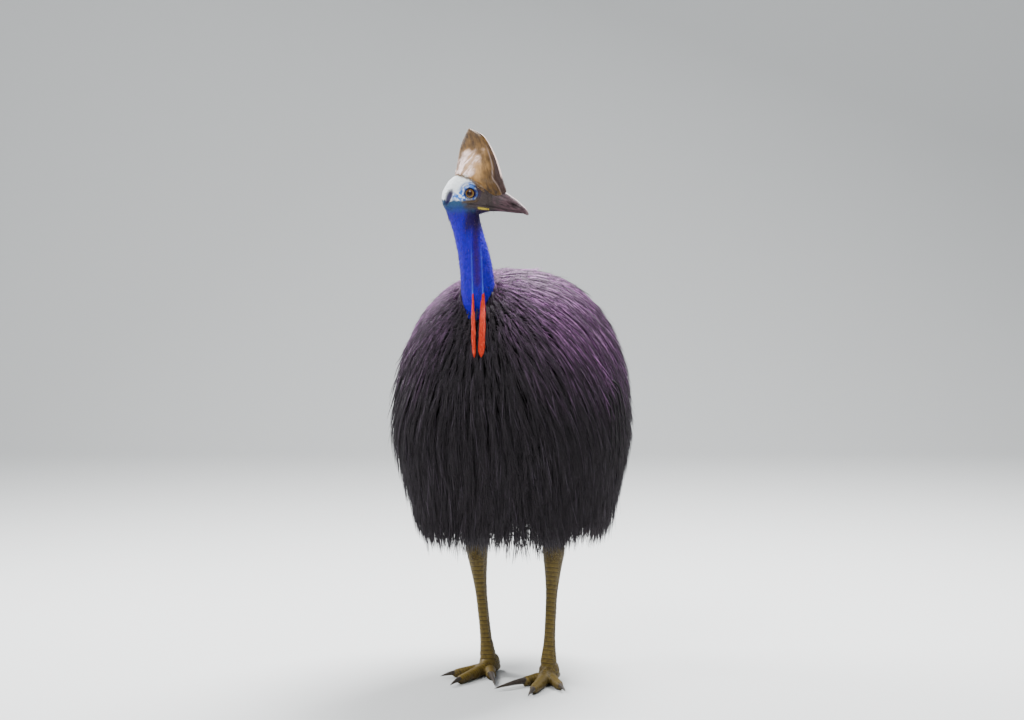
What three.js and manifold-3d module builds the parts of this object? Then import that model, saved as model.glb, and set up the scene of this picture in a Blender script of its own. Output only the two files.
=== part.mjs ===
// A life-size still model of a southern cassowary, standing with its head turned to its left.
// Millimetres, +Z up. The bird faces -Y, its left side is +X, and its soles stand on Z = 0.
// The trunk is one closed shell that can be seen from its centre. Coarse plumes grow from it in rows
// that start round the base of the neck and hang over one another down to the skirt.
import * as THREE from "three";
import { mergeVertices } from "three/addons/utils/BufferGeometryUtils.js";
import Module from "manifold-3d";

const wasm = await Module();
wasm.setup();
const { Manifold, Mesh } = wasm;

// Driving dimensions
const GAP = 0.45; // clear space kept between two nodes that touch
const DEGREE = Math.PI / 180;

const TRUNK = {
  centre: [0, 35, 690], // every point of the shell is seen from here
  widest: 655, // height of the widest section
  top: 1038,
  bottom: 408,
  halfWidth: 237,
  halfLength: 375,
  tailDrop: 40, // how much lower the rear end hangs than the middle
  egg: 0.1, // how much narrower the rear is than the front
  planPower: 2.2, // 2 is an ellipse and more is squarer: seen from above, over and under the widest
  upperPower: 2.7,
  lowerPower: 2.2,
};
const NECK_ROOT = {
  at: [0, -238, 985], // middle of the ring where bare skin meets plumes
  swell: 22, // how far the shoulders rise round the neck
  spread: 11 * DEGREE,
};
const COAT = {
  firstRing: 7 * DEGREE, // rows are rings round the neck root, seen from the trunk's centre
  ringStep: 14.5 * DEGREE,
  rings: 11,
  plumeLength: 255,
  plumeWidth: 91,
  plumeRise: 48, // how far the tips stand off the shell
  plumeThick: 9,
  neckLength: 105, // the same sizes for the row next to the neck
  neckWidth: 34,
  neckRise: 7,
  lowestRoot: 520,
  shortest: 130,
  hem: 392, // where the tips of the lowest rows end in front, and how much lower they end behind
  hemDrop: 45,
  hangFrom: 590, // below this height plumes leave the shell and hang
  gather: 0.3, // how much they lean in below it
  settle: 0.6, // how much closer they lie on the level top of the back
  rootDepth: 20,
  backward: 0.95, // share of the lie that runs away from the neck
  downward: 0.75, // share that gravity adds
};
const TAIL = { from: 285, length: 300, rise: 54 };

const NECK = {
  // height, sideways place, place along the body, half width, half depth, turn of the throat
  stations: [
    [925, 0, -226, 42, 46, 20],
    [985, 0, -238, 40.5, 44, 20],
    [1030, 2, -249, 40, 42, 21],
    [1080, -1.5, -257, 38, 40, 27],
    [1130, -11, -265, 35.5, 38.5, 42],
    [1165, -20, -269, 33.5, 39, 62],
    [1195, -28, -271, 32, 40, 80],
    [1228, -33, -271, 28, 36, 90],
  ],
  levels: [
    925, 955, 985, 1002, 1018, 1034, 1050, 1066, 1082, 1098, 1114, 1130, 1146, 1162, 1178, 1194, 1211, 1228,
  ],
  groove: 2.6, // height of the two folds that run up from the wattles
  cut: 1088, // height where the upper neck meets the lower neck
};
const HEAD = { at: [3, -272, 1238], turn: 2 * DEGREE };
const EYE = { side: 23, radius: 14, behind: 3, lid: 2.3 };
const WATTLE = { top: 1010, bottom: 850, thick: 6, wide: { left: 17, right: 12 } };
const LEGS = {
  left: { side: 1, hock: [95, 47, 335], ankle: [90, 20, 34], toeTurn: 4 },
  right: { side: -1, hock: [-108, 47, 328], ankle: [-87, 62, 34], toeTurn: 10 },
};

// Seeded random numbers, so that every run gives the same bird
function randomFrom(seed) {
  let state = seed >>> 0;
  return () => {
    state = (state + 0x6d2b79f5) >>> 0;
    let t = state;
    t = Math.imul(t ^ (t >>> 15), t | 1);
    t ^= t + Math.imul(t ^ (t >>> 7), t | 61);
    return ((t ^ (t >>> 14)) >>> 0) / 4294967296;
  };
}

// Small helpers
const vec = (x, y, z) => new THREE.Vector3(x, y, z);
const point = (list) => vec(...list);
const mix = (a, b, t) => a + (b - a) * t;
const clamp01 = (t) => Math.min(1, Math.max(0, t));
const smooth = (t) => clamp01(t) ** 2 * (3 - 2 * clamp01(t));
const DOWN = vec(0, 0, -1);

// The value of each column of a table at one place, along a smooth curve through its rows.
// The first column is the place, and it rises or falls all the way.
function along(table, place) {
  const rising = table[table.length - 1][0] > table[0][0];
  let i = 0;
  while (i < table.length - 2 && place > table[i + 1][0] === rising) i += 1;
  const row = (k) => table[Math.min(table.length - 1, Math.max(0, k))];
  const [a, b, c, d] = [row(i - 1), row(i), row(i + 1), row(i + 2)];
  const t = clamp01((place - b[0]) / (c[0] - b[0]));
  return b.slice(1).map((start, n) => {
    const end = c[n + 1];
    const span = c[0] - b[0];
    const in0 = i > 0 ? ((end - a[n + 1]) / (c[0] - a[0])) * span : end - start;
    const out0 = i < table.length - 2 ? ((d[n + 1] - start) / (d[0] - b[0])) * span : end - start;
    const t2 = t * t;
    const t3 = t2 * t;
    return (2 * t3 - 3 * t2 + 1) * start + (t3 - 2 * t2 + t) * in0
      + (3 * t2 - 2 * t3) * end + (t3 - t2) * out0;
  });
}

// A closed surface through rings of points. A ring of one point is a tip.
function loft(rings) {
  const positions = [];
  const index = [];
  const starts = rings.map((ring) => {
    const start = positions.length / 3;
    ring.forEach((p) => positions.push(p.x, p.y, p.z));
    return start;
  });
  for (let k = 0; k + 1 < rings.length; k += 1) {
    const [a, b] = [starts[k], starts[k + 1]];
    const sides = Math.max(rings[k].length, rings[k + 1].length);
    for (let i = 0; i < sides; i += 1) {
      const j = (i + 1) % sides;
      if (rings[k].length === 1) index.push(a, b + i, b + j);
      else if (rings[k + 1].length === 1) index.push(a + i, b, a + j);
      else index.push(a + i, b + i, b + j, a + i, b + j, a + j);
    }
  }
  [[0, true], [rings.length - 1, false]].forEach(([k, first]) => {
    const ring = rings[k];
    if (ring.length === 1) return;
    if (ring.length === 3) {
      index.push(...(first ? [0, 1, 2] : [2, 1, 0]).map((i) => starts[k] + i));
      return;
    }
    const middle = ring.reduce((sum, p) => sum.add(p), vec(0, 0, 0)).divideScalar(ring.length);
    const centre = positions.length / 3;
    positions.push(middle.x, middle.y, middle.z);
    ring.forEach((_, i) => {
      const j = (i + 1) % ring.length;
      const pair = first ? [starts[k] + i, starts[k] + j] : [starts[k] + j, starts[k] + i];
      index.push(centre, ...pair);
    });
  });
  const geometry = new THREE.BufferGeometry();
  geometry.setAttribute("position", new THREE.Float32BufferAttribute(positions, 3));
  geometry.setIndex(index);
  return geometry;
}

// A three.js geometry as a solid with its faces pointing out, and back again
function solidOf(geometry) {
  const bare = geometry.clone();
  bare.deleteAttribute("normal");
  bare.deleteAttribute("uv");
  const merged = mergeVertices(bare, 1e-4);
  const vertProperties = new Float32Array(merged.attributes.position.array);
  const triVerts = new Uint32Array(merged.index.array);
  const made = new Manifold(new Mesh({ numProp: 3, vertProperties, triVerts }));
  if (made.volume() > 0) return made;
  for (let i = 0; i < triVerts.length; i += 3) {
    [triVerts[i + 1], triVerts[i + 2]] = [triVerts[i + 2], triVerts[i + 1]];
  }
  return new Manifold(new Mesh({ numProp: 3, vertProperties, triVerts }));
}

function geometryOf(solid) {
  const { numProp, vertProperties, triVerts } = solid.getMesh();
  const count = vertProperties.length / numProp;
  const positions = new Float32Array(count * 3);
  for (let i = 0; i < count; i += 1) {
    positions.set(vertProperties.subarray(i * numProp, i * numProp + 3), i * 3);
  }
  const geometry = new THREE.BufferGeometry();
  geometry.setAttribute("position", new THREE.BufferAttribute(positions, 3));
  geometry.setIndex(new THREE.BufferAttribute(new Uint32Array(triVerts), 1));
  geometry.computeVertexNormals();
  return geometry;
}

const united = (geometries) => Manifold.union(geometries.map(solidOf));
const FINE = 0.04; // faces that lie this close to one plane are joined
const largest = (solid) => solid.decompose().sort((a, b) => b.volume() - a.volume())[0];

// Distance from the trunk's centre to its shell in one direction
const TRUNK_CENTRE = point(TRUNK.centre);
const NECK_AXIS = point(NECK_ROOT.at).sub(TRUNK_CENTRE).normalize();

function trunkFill(p) {
  const v = (p.y - TRUNK.centre[1]) / TRUNK.halfLength;
  const z = p.z + TRUNK.tailDrop * v - TRUNK.widest;
  const across = p.x / (TRUNK.halfWidth * (1 - TRUNK.egg * v));
  const up = z > 0
    ? (z / (TRUNK.top - TRUNK.widest)) ** TRUNK.upperPower
    : (-z / (TRUNK.widest - TRUNK.bottom)) ** TRUNK.lowerPower;
  return Math.abs(across) ** TRUNK.planPower + Math.abs(v) ** TRUNK.planPower + up;
}

function trunkRadius(direction) {
  let [near, far] = [0, 700];
  for (let step = 0; step < 30; step += 1) {
    const middle = (near + far) / 2;
    const inside = trunkFill(TRUNK_CENTRE.clone().addScaledVector(direction, middle)) < 1;
    if (inside) near = middle;
    else far = middle;
  }
  const off = direction.angleTo(NECK_AXIS) / NECK_ROOT.spread;
  return near + NECK_ROOT.swell * Math.exp(-0.5 * off * off);
}

// The shell's point on the same ray from the centre as p, raised by a height along that ray
function onTrunk(p, height = 0) {
  const direction = p.clone().sub(TRUNK_CENTRE).normalize();
  return TRUNK_CENTRE.clone().addScaledVector(direction, trunkRadius(direction) + height);
}

function trunkNormal(p) {
  const step = 2;
  const rise = (q) => q.distanceTo(TRUNK_CENTRE) - trunkRadius(q.clone().sub(TRUNK_CENTRE).normalize());
  const slope = [vec(step, 0, 0), vec(0, step, 0), vec(0, 0, step)].map(
    (d) => rise(p.clone().add(d)) - rise(p.clone().sub(d)),
  );
  return vec(...slope).normalize();
}

// A direction seen from the trunk's centre, by its angle from the neck and its turn round that axis.
// Turn 0 is the breast and a half turn is the back.
const FORE = vec(0, -1, 0).addScaledVector(NECK_AXIS, NECK_AXIS.y).normalize();
const SIDE = NECK_AXIS.clone().cross(FORE).normalize();
function fromNeck(angle, turn) {
  return NECK_AXIS.clone().multiplyScalar(Math.cos(angle))
    .addScaledVector(FORE, Math.sin(angle) * Math.cos(turn))
    .addScaledVector(SIDE, Math.sin(angle) * Math.sin(turn));
}

function trunkShell(grow = 0) {
  const [rows, sides] = [18, 26];
  const rings = [];
  for (let j = 0; j <= rows; j += 1) {
    const angle = (Math.PI * j) / rows;
    const ring = [];
    const count = j === 0 || j === rows ? 1 : sides;
    for (let i = 0; i < count; i += 1) {
      const direction = fromNeck(angle, (2 * Math.PI * i) / sides);
      ring.push(TRUNK_CENTRE.clone().addScaledVector(direction, trunkRadius(direction) + grow));
    }
    rings.push(ring);
  }
  return loft(rings);
}

// One plume: a flat tapered lock with a low ridge, from a root inside the shell to a fine tip.
// Its track runs along the shell and hangs free below a set height.
// sizes holds its length, width, rise and thickness. grow makes it fatter on every side.
const PLUME_STEPS = 16;
function plumeTrack(root, length, sway) {
  const track = [];
  let p = root.clone();
  let heading = null;
  let normal = trunkNormal(p);
  for (let k = 0; k <= PLUME_STEPS; k += 1) {
    const hanging = p.z < COAT.hangFrom;
    if (!hanging) normal = trunkNormal(p);
    const lie = p.clone().sub(point(NECK_ROOT.at)).normalize().multiplyScalar(COAT.backward)
      .addScaledVector(DOWN, COAT.downward);
    lie.addScaledVector(normal, -lie.dot(normal)).normalize();
    if (hanging) lie.addScaledVector(DOWN, 2).addScaledVector(normal, -2 * COAT.gather).normalize();
    lie.applyAxisAngle(normal, (sway * k) / PLUME_STEPS);
    heading = heading ? heading.lerp(lie, 0.6).normalize() : lie;
    track.push({ p: p.clone(), normal: normal.clone(), heading: heading.clone() });
    p = p.addScaledVector(heading, length / PLUME_STEPS);
    if (!hanging) p = onTrunk(p);
  }
  return track;
}

const PLUME_RINGS = [0, 0.25, 0.56, 0.81];
const PLUME_WIDTHS = [0.4, 0.94, 0.96, 0.56];
function plume({ root, sizes, sway }, grow = 0) {
  const track = plumeTrack(root, sizes.length, sway);
  const rings = PLUME_RINGS.map((share, n) => {
    const { p: at, normal, heading: ahead } = track[Math.round(share * PLUME_STEPS)];
    const out = normal.clone().addScaledVector(ahead, -normal.dot(ahead)).normalize();
    const side = ahead.clone().cross(out).normalize();
    const rise = sizes.rise * (1 - COAT.settle * Math.max(0, normal.z));
    const base = n === 0 ? -COAT.rootDepth : mix(2, rise, ((share - 0.25) / 0.75) ** 0.9);
    const half = (sizes.width * PLUME_WIDTHS[n]) / 2 + 9 * grow; // its edges are sharp
    const thick = sizes.thick * mix(1, 0.5, share) + 2 * grow;
    const low = at.clone().addScaledVector(out, base - grow);
    return [
      low.clone().addScaledVector(side, -half),
      low.clone().addScaledVector(out, thick),
      low.clone().addScaledVector(side, half),
    ];
  });
  const end = track[PLUME_STEPS];
  const stand = sizes.rise * (1 - COAT.settle * Math.max(0, end.normal.z)) + 1;
  rings.push([end.p.clone().addScaledVector(end.normal, stand).addScaledVector(end.heading, 4 * grow)]);
  return loft(rings);
}

// Every plume of the coat, in rows round the neck root
function coatPlumes() {
  const random = randomFrom(7);
  const found = [];
  for (let row = 0; row < COAT.rings; row += 1) {
    const samples = 120;
    const edge = [];
    for (let i = 0; i <= samples; i += 1) {
      const angle = COAT.firstRing + row * COAT.ringStep;
      edge.push(onTrunk(TRUNK_CENTRE.clone().add(fromNeck(angle, (2 * Math.PI * i) / samples))));
    }
    const reach = [0];
    for (let i = 1; i <= samples; i += 1) reach.push(reach[i - 1] + edge[i].distanceTo(edge[i - 1]));
    const total = reach[samples];
    const grown = smooth(row / 3);
    const count = Math.round(total / mix(COAT.neckWidth, COAT.plumeWidth, grown));
    for (let n = 0; n < count; n += 1) {
      const want = ((n + (row % 2 ? 0.5 : 0)) * total) / count;
      const i = Math.max(1, reach.findIndex((r) => r >= want));
      const t = (want - reach[i - 1]) / (reach[i] - reach[i - 1]);
      const [a, b, c, d] = [random(), random(), random(), random()];
      const level = edge[i - 1].clone().lerp(edge[i], t);
      const forth = level.clone().sub(point(NECK_ROOT.at)).normalize();
      const root = onTrunk(level.addScaledVector(forth, row ? mix(-22, 22, d) : 0));
      if (root.z < COAT.lowestRoot) continue;
      const tail = root.y > TAIL.from;
      const sizes = {
        length: (tail ? TAIL.length : mix(COAT.neckLength, COAT.plumeLength, grown)) * mix(0.88, 1.12, a),
        width: (total / count) * mix(0.86, 0.98, b),
        rise: tail ? TAIL.rise : mix(COAT.neckRise, COAT.plumeRise, smooth(row / 4)),
        thick: COAT.plumeThick * mix(0.6, 1, grown),
      };
      const sway = mix(-0.1, 0.1, c);
      const end = plumeTrack(root, sizes.length, sway)[PLUME_STEPS].p;
      const hem = COAT.hem - COAT.hemDrop * smooth(root.y / 300) + 30 * (d - 0.5);
      if (end.z < hem) sizes.length *= (root.z - hem) / (root.z - end.z);
      if (sizes.length > COAT.shortest || row === 0) found.push({ root, sizes, sway, tail });
    }
  }
  return found;
}

// The bare neck: level rings with two folds up the throat and shallow creases across
const NECK_TURNS = [0, 17, 34, 55, 78, 102, 126, 153, 180, 207, 234, 258, 282, 305, 326, 343];
const NECK_FOLDS = { 17: 1, 343: 1, 0: -0.35, 34: 0.1, 326: 0.1 };

function neckFrame(z) {
  const [x, y, wide, deep, turn] = along(NECK.stations, z);
  const front = vec(Math.sin(turn * DEGREE), -Math.cos(turn * DEGREE), 0);
  const side = vec(Math.cos(turn * DEGREE), Math.sin(turn * DEGREE), 0);
  return { centre: vec(x, y, z), wide, deep, front, side };
}

function neck(grow = 0) {
  const rings = NECK.levels.map((z, k) => {
    const { centre, wide, deep, front, side } = neckFrame(z);
    centre.z += k === 0 ? -grow : 0;
    const crease = z > 990 && z < 1200 ? (k % 2 ? 0.7 : -0.5) : 0;
    const fold = NECK.groove * smooth((1175 - z) / 60);
    return NECK_TURNS.map((turn) => {
      const raise = grow + crease + fold * (NECK_FOLDS[turn] ?? 0);
      return centre.clone().addScaledVector(front, (deep + raise) * Math.cos(turn * DEGREE))
        .addScaledVector(side, (wide + raise) * Math.sin(turn * DEGREE));
    });
  });
  return loft(rings);
}

// The head and all that sits on it, in the head's own frame: forward, to its left, up
const HEAD_FORWARD = vec(Math.cos(HEAD.turn), Math.sin(HEAD.turn), 0);
const HEAD_LEFT = vec(-Math.sin(HEAD.turn), Math.cos(HEAD.turn), 0);
function onHead(f, l, h) {
  return point(HEAD.at).addScaledVector(HEAD_FORWARD, f).addScaledVector(HEAD_LEFT, l)
    .add(vec(0, 0, h));
}
function headPlaced(geometry, f, l, h) {
  const frame = new THREE.Matrix4().makeBasis(HEAD_FORWARD, HEAD_LEFT, vec(0, 0, 1));
  return geometry.clone().applyMatrix4(frame.setPosition(onHead(f, l, h)));
}

const SKULL = {
  // place forward, half width, top, bottom
  stations: [
    [-80, 7, -5, -20],
    [-74, 18, 8, -36],
    [-62, 27, 24, -50],
    [-45, 32, 36, -58],
    [-25, 34, 40, -60],
    [-5, 33, 40, -56],
    [12, 30, 36, -50],
    [28, 25.5, 28, -45],
    [42, 20.5, 18, -42.5],
    [51, 18.5, 10, -41.5],
  ],
  roundness: 2.3,
};
function skullSide(f, h, grow = 0) {
  const [wide, top, bottom] = along(SKULL.stations, f);
  const off = Math.abs((h - (top + bottom) / 2) / ((top - bottom) / 2 + grow));
  return (wide + grow) * Math.max(0, 1 - off ** SKULL.roundness) ** (1 / SKULL.roundness);
}
function skull(grow = 0) {
  const places = [-80, -77, -69, -57, -42, -24, -6, 12, 27, 40, 51];
  const power = 2 / SKULL.roundness;
  const rings = places.map((f, k) => {
    const [wide, top, bottom] = along(SKULL.stations, f);
    const [middle, tall] = [(top + bottom) / 2, (top - bottom) / 2 + grow];
    const end = k === 0 ? -grow : k === places.length - 1 ? grow : 0;
    return [...Array(16).keys()].map((i) => {
      const angle = (Math.PI * i) / 8;
      const across = Math.sign(Math.cos(angle)) * Math.abs(Math.cos(angle)) ** power;
      const up = Math.sign(Math.sin(angle)) * Math.abs(Math.sin(angle)) ** power;
      return onHead(f + end, (wide + grow) * across, middle + tall * up);
    });
  });
  return loft(rings);
}

// The front of an eyeball, cut flat behind
function eyeball(side, grow = 0) {
  const ball = new THREE.SphereGeometry(EYE.radius + grow, 14, 8).rotateX(Math.PI / 2);
  const outward = HEAD_LEFT.clone().multiplyScalar(side);
  const back = onHead(0, side * (EYE.side - EYE.behind - grow), 0).dot(outward);
  return solidOf(headPlaced(ball, 0, side * EYE.side, 0)).trimByPlane(outward.toArray(), back);
}

// The line of the mouth, cut into both cheeks behind the bill
const MOUTH = [
  // forward, up
  [-7, -24.5],
  [4, -26],
  [20, -28.3],
  [38, -31],
  [56, -33.8],
];
function mouthCut(side) {
  return loft(MOUTH.map(([f, h], k) => {
    const l = skullSide(Math.min(f, 50), h);
    const [deep, half] = k === 0 ? [0.8, 0.3] : [2.6, 1.1];
    return [[-deep, 0], [2, half * 1.9], [2, -half * 1.9]].map(([out, up]) => (
      onHead(f, side * (l + out), h + up)
    ));
  }));
}

// The bill: an upper half with a ridge, a lower half like a trough
const BILL_UPPER = [
  // forward, half width, top, bottom
  [40, 17.5, 9.5, -30.5],
  [50, 17, 8, -32],
  [65, 16, 5, -35],
  [80, 14.5, 1.7, -38],
  [98, 12, -10, -40.5],
  [115, 9, -26, -43],
  [127, 5.5, -39, -46],
  [134, 1.6, -47, -49.5],
];
const BILL_LOWER = [
  [40, 16.5, -31.2, -43],
  [50, 16, -32.6, -43],
  [65, 15, -35.6, -43.2],
  [80, 13.3, -38.6, -44],
  [98, 10.5, -41.2, -46],
  [113, 7, -43.4, -47.2],
  [125, 1.6, -46.2, -48],
];
const UPPER_SECTION = [
  // share of the half width, share of the height
  [1, 0],
  [1, 0.28],
  [0.86, 0.6],
  [0.52, 0.86],
  [0.2, 1],
  [-0.2, 1],
  [-0.52, 0.86],
  [-0.86, 0.6],
  [-1, 0.28],
  [-1, 0],
];
const LOWER_SECTION = [
  [1, 1],
  [0.93, 0.45],
  [0.6, 0.08],
  [0.2, 0],
  [-0.2, 0],
  [-0.6, 0.08],
  [-0.93, 0.45],
  [-1, 1],
];
function bill(table, section, grow = 0) {
  const [from, to] = [table[0][0], table[table.length - 1][0]];
  const rings = [...Array(9).keys()].map((k) => {
    const f = mix(from, to, k / 8);
    const [wide, top, bottom] = along(table, f);
    return section.map(([across, up]) => (
      onHead(f + (k === 8 ? grow : 0), across * (wide + grow), mix(bottom - grow, top + grow, up))
    ));
  });
  return loft(rings);
}

// The casque: a tall flattened helmet of horn with a keel in front
const CASQUE = [
  // up, front, back, half thickness
  [-6, 80, 38, 12],
  [8, 79, 18, 19],
  [22, 74, 0, 23],
  [34, 70, -40, 25],
  [46, 66.5, -46, 24],
  [58, 63, -43.5, 22.2],
  [79, 56, -40, 18.5],
  [101, 46.5, -36, 15],
  [121, 35, -29.5, 11.5],
  [136, 23.5, -23, 9],
  [146, 7, -18, 6.6],
  [154, -11, -14, 3],
];
const CASQUE_SECTION = [
  // share from front to back, share of the half thickness
  [0, 0.2],
  [0.09, 0.36],
  [0.24, 0.74],
  [0.46, 0.98],
  [0.68, 0.96],
  [0.87, 0.66],
  [1, 0.24],
];
function casque(grow = 0) {
  const heights = [-6, 8, 22, 34, 50, 70, 92, 112, 128, 141, 149, 154];
  const rings = heights.map((h) => {
    const [front, back, half] = along(CASQUE, h);
    const halfRing = CASQUE_SECTION.map(([share, across]) => (
      [mix(front + grow, back - grow, share), across * half + grow]
    ));
    const other = halfRing.map(([f, l]) => [f, -l]).reverse();
    return [...halfRing, ...other].map(([f, l]) => onHead(f, l, h + (h === 154 ? grow : 0)));
  });
  return loft(rings);
}

// Two wattles that hang from the foot of the throat and lie on the breast plumes
const WATTLE_PATH = [
  // height, distance in front of the neck's axis, distance from the middle, share of the full width
  [1012, 35, 12, 0.5],
  [998, 45.5, 12, 0.6],
  [985, 48, 11.9, 0.66],
  [970, 52, 11.7, 0.72],
  [955, 62, 11.4, 0.8],
  [940, 71, 11, 0.86],
  [920, 79, 10.6, 0.94],
  [900, 86, 10.1, 1],
  [880, 92, 9.6, 1],
  [865, 96, 8.8, 0.86],
  [850, 99, 8, 0.3],
];
function wattle(side, width, grow = 0) {
  const { centre, front, side: across } = neckFrame(NECK.stations[1][0]);
  const rings = [...Array(11).keys()].map((k) => {
    const z = mix(WATTLE.top, WATTLE.bottom, k / 10);
    const [reach, spread, share] = along(WATTLE_PATH, z);
    const middle = centre.clone().addScaledVector(front, reach).addScaledVector(across, side * spread);
    middle.z = z + (k === 10 ? -grow : k === 0 ? grow : 0);
    const half = (width * share) / 2 + grow;
    const thick = WATTLE.thick / 2 + grow;
    return [...Array(8).keys()].map((i) => {
      const angle = (Math.PI * i) / 4;
      return middle.clone().addScaledVector(across, half * Math.cos(angle))
        .addScaledVector(front, thick * Math.sin(angle));
    });
  });
  return loft(rings);
}

// A stub of a wing under the plumes, with bare quills that curve down over the flank
const WING = { at: [0, -40, 790], quills: 5, under: 1, over: 52, length: 215 };
function wing(side, grow = 0) {
  const at = onTrunk(vec(side * 210, WING.at[1], WING.at[2]), WING.under);
  const stub = new THREE.SphereGeometry(1, 8, 5);
  stub.scale(12 + grow, 36 + grow, 20 + grow).rotateX(-0.5).translate(at.x, at.y, at.z);
  const quills = [...Array(WING.quills).keys()].map((n) => {
    const t = n / (WING.quills - 1);
    const start = at.clone().add(vec(0, mix(-4, 20, t), mix(-8, -4, t)));
    const long = WING.length * mix(1.08, 0.78, Math.abs(t - 0.4));
    const lean = mix(8, 46, t) * DEGREE;
    const shares = [0, 0.12, 0.26, 0.42, 0.6, 0.8];
    const middles = [...shares, 1].map((share) => {
      const drop = long * share * Math.cos(lean) + 16 * share * share;
      const back = long * share * Math.sin(lean) * (1 - 0.25 * share);
      const raw = start.clone().add(vec(0, back, -drop));
      return share === 0 ? start : onTrunk(raw, mix(WING.under, WING.over, smooth(share * 2.6)));
    });
    const rings = shares.map((share, k) => {
      const ahead = middles[k + 1].clone().sub(middles[k]).normalize();
      const out = vec(side, 0, 0).addScaledVector(ahead, -side * ahead.x).normalize();
      const across = ahead.clone().cross(out);
      const radius = mix(4.2, 1.6, share) + grow;
      const centre = middles[k].clone().addScaledVector(ahead, k === 0 ? -grow : 0);
      return [...Array(4).keys()].map((i) => centre.clone()
        .addScaledVector(out, radius * Math.cos((i * Math.PI) / 2))
        .addScaledVector(across, radius * Math.sin((i * Math.PI) / 2)));
    });
    return loft([...rings, [middles[6].clone().add(vec(0, 0, -grow))]]);
  });
  return united([stub, ...quills]);
}

// Legs. A ring across a limb at one place, from its half width and half depth
function limbRing(centre, ahead, wide, deep, count, frontRaise = 0) {
  const across = vec(1, 0, 0).addScaledVector(ahead, -ahead.x).normalize();
  const front = across.clone().cross(ahead).normalize();
  if (front.y > 0) front.negate();
  return [...Array(count).keys()].map((i) => {
    const angle = (2 * Math.PI * i) / count;
    const raise = Math.cos(angle) > 0.4 ? frontRaise : 0;
    return centre.clone().addScaledVector(front, (deep + raise) * Math.cos(angle))
      .addScaledVector(across, (wide + raise) * Math.sin(angle));
  });
}

const SHANK = [
  // distance below the hock, half width, half depth
  [-27, 10, 12],
  [-20, 19, 24],
  [-4, 25, 30],
  [12, 23.5, 28.5],
  [36, 17, 21.5],
  [70, 13.8, 17.8],
  [150, 13.2, 16.6],
  [225, 14, 17],
  [262, 18, 19],
  [284, 20.5, 20],
  [300, 17, 16],
];
const SCUTE = { from: 40, to: 282, pitch: 22, raise: 2 };
function shank(leg, grow = 0) {
  const [top, foot] = [point(leg.hock), point(leg.ankle)];
  const ahead = foot.clone().sub(top).normalize();
  const reach = foot.distanceTo(top);
  const places = [[-27 - grow, 0], [-20, 0], [-10, 0], [2, 0], [14, 0], [27, 0]];
  for (let t = SCUTE.from; t < SCUTE.to; t += SCUTE.pitch) {
    places.push([t, 0], [t + SCUTE.pitch - 1.2, SCUTE.raise]);
  }
  places.push([284, 0], [reach + grow, 0]);
  return loft(places.map(([t, raise]) => {
    const [wide, deep] = along(SHANK, Math.min(t, 300));
    const lift = grow > 0 ? SCUTE.raise * (t > SCUTE.from ? 1 : 0) : raise;
    return limbRing(top.clone().addScaledVector(ahead, t), ahead, wide + grow, deep + grow, 12, lift);
  }));
}

const THIGH = [
  // height above the hock, half width, half depth, shift inward, shift along the body
  [12, 25, 29, 0, 0],
  [30, 26, 31, 0, -2],
  [52, 29, 36, 0, -5],
  [78, 37, 47, 0, -10],
  [110, 50, 64, 4, -18],
  [150, 60, 78, 8, -26],
];
function thigh(leg) {
  const rings = [12, 28, 46, 68, 92, 120, 150].map((up) => {
    const [wide, deep, inward, back] = along(THIGH, up);
    const centre = point(leg.hock).add(vec(-leg.side * inward, back, up));
    return limbRing(centre, DOWN, wide, deep, 12);
  });
  return loft(rings);
}

const TOES = {
  // turn from straight ahead towards the outer side, length, half width and half height at both
  // ends, claw length, claw radius, claw drop
  middle: { turn: 0, length: 152, wide: [17, 11], tall: [17, 10], claw: [38, 8.2, 6] },
  outer: { turn: 33, length: 104, wide: [15, 10], tall: [16, 9.5], claw: [34, 7.6, 5] },
  inner: { turn: -36, length: 82, wide: [16, 12], tall: [16, 11.5], claw: [92, 10, 7] },
};
function toeAxis(leg, toe) {
  const turn = (leg.toeTurn + toe.turn) * DEGREE;
  return vec(leg.side * Math.sin(turn), -Math.cos(turn), 0);
}
function toeBody(leg, toe) {
  const ahead = toeAxis(leg, toe);
  const across = vec(-ahead.y, ahead.x, 0);
  const start = vec(leg.ankle[0], leg.ankle[1], 0);
  const steps = Math.round(toe.length / 24);
  const rings = [];
  for (let k = 0; k <= steps; k += 1) {
    const share = k / steps;
    const wide = mix(...toe.wide, share);
    const tall = mix(...toe.tall, share) * (k === steps ? 0.86 : 1);
    const pad = k % 3 === 0 && k > 0 && k < steps ? 1.4 : -1.6;
    const centre = start.clone().addScaledVector(ahead, toe.length * share);
    centre.z = tall + pad + 14 * smooth(1 - share * 3.2);
    rings.push([...Array(8).keys()].map((i) => {
      const angle = ((i + 0.5) * Math.PI) / 4;
      const scute = Math.sin(angle) > 0.5 && k % 2 ? 1.5 : 0;
      return centre.clone().addScaledVector(across, wide * Math.cos(angle) * 1.06)
        .add(vec(0, 0, (tall * 1.06 + scute) * Math.sin(angle)));
    }));
  }
  return loft(rings);
}
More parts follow.
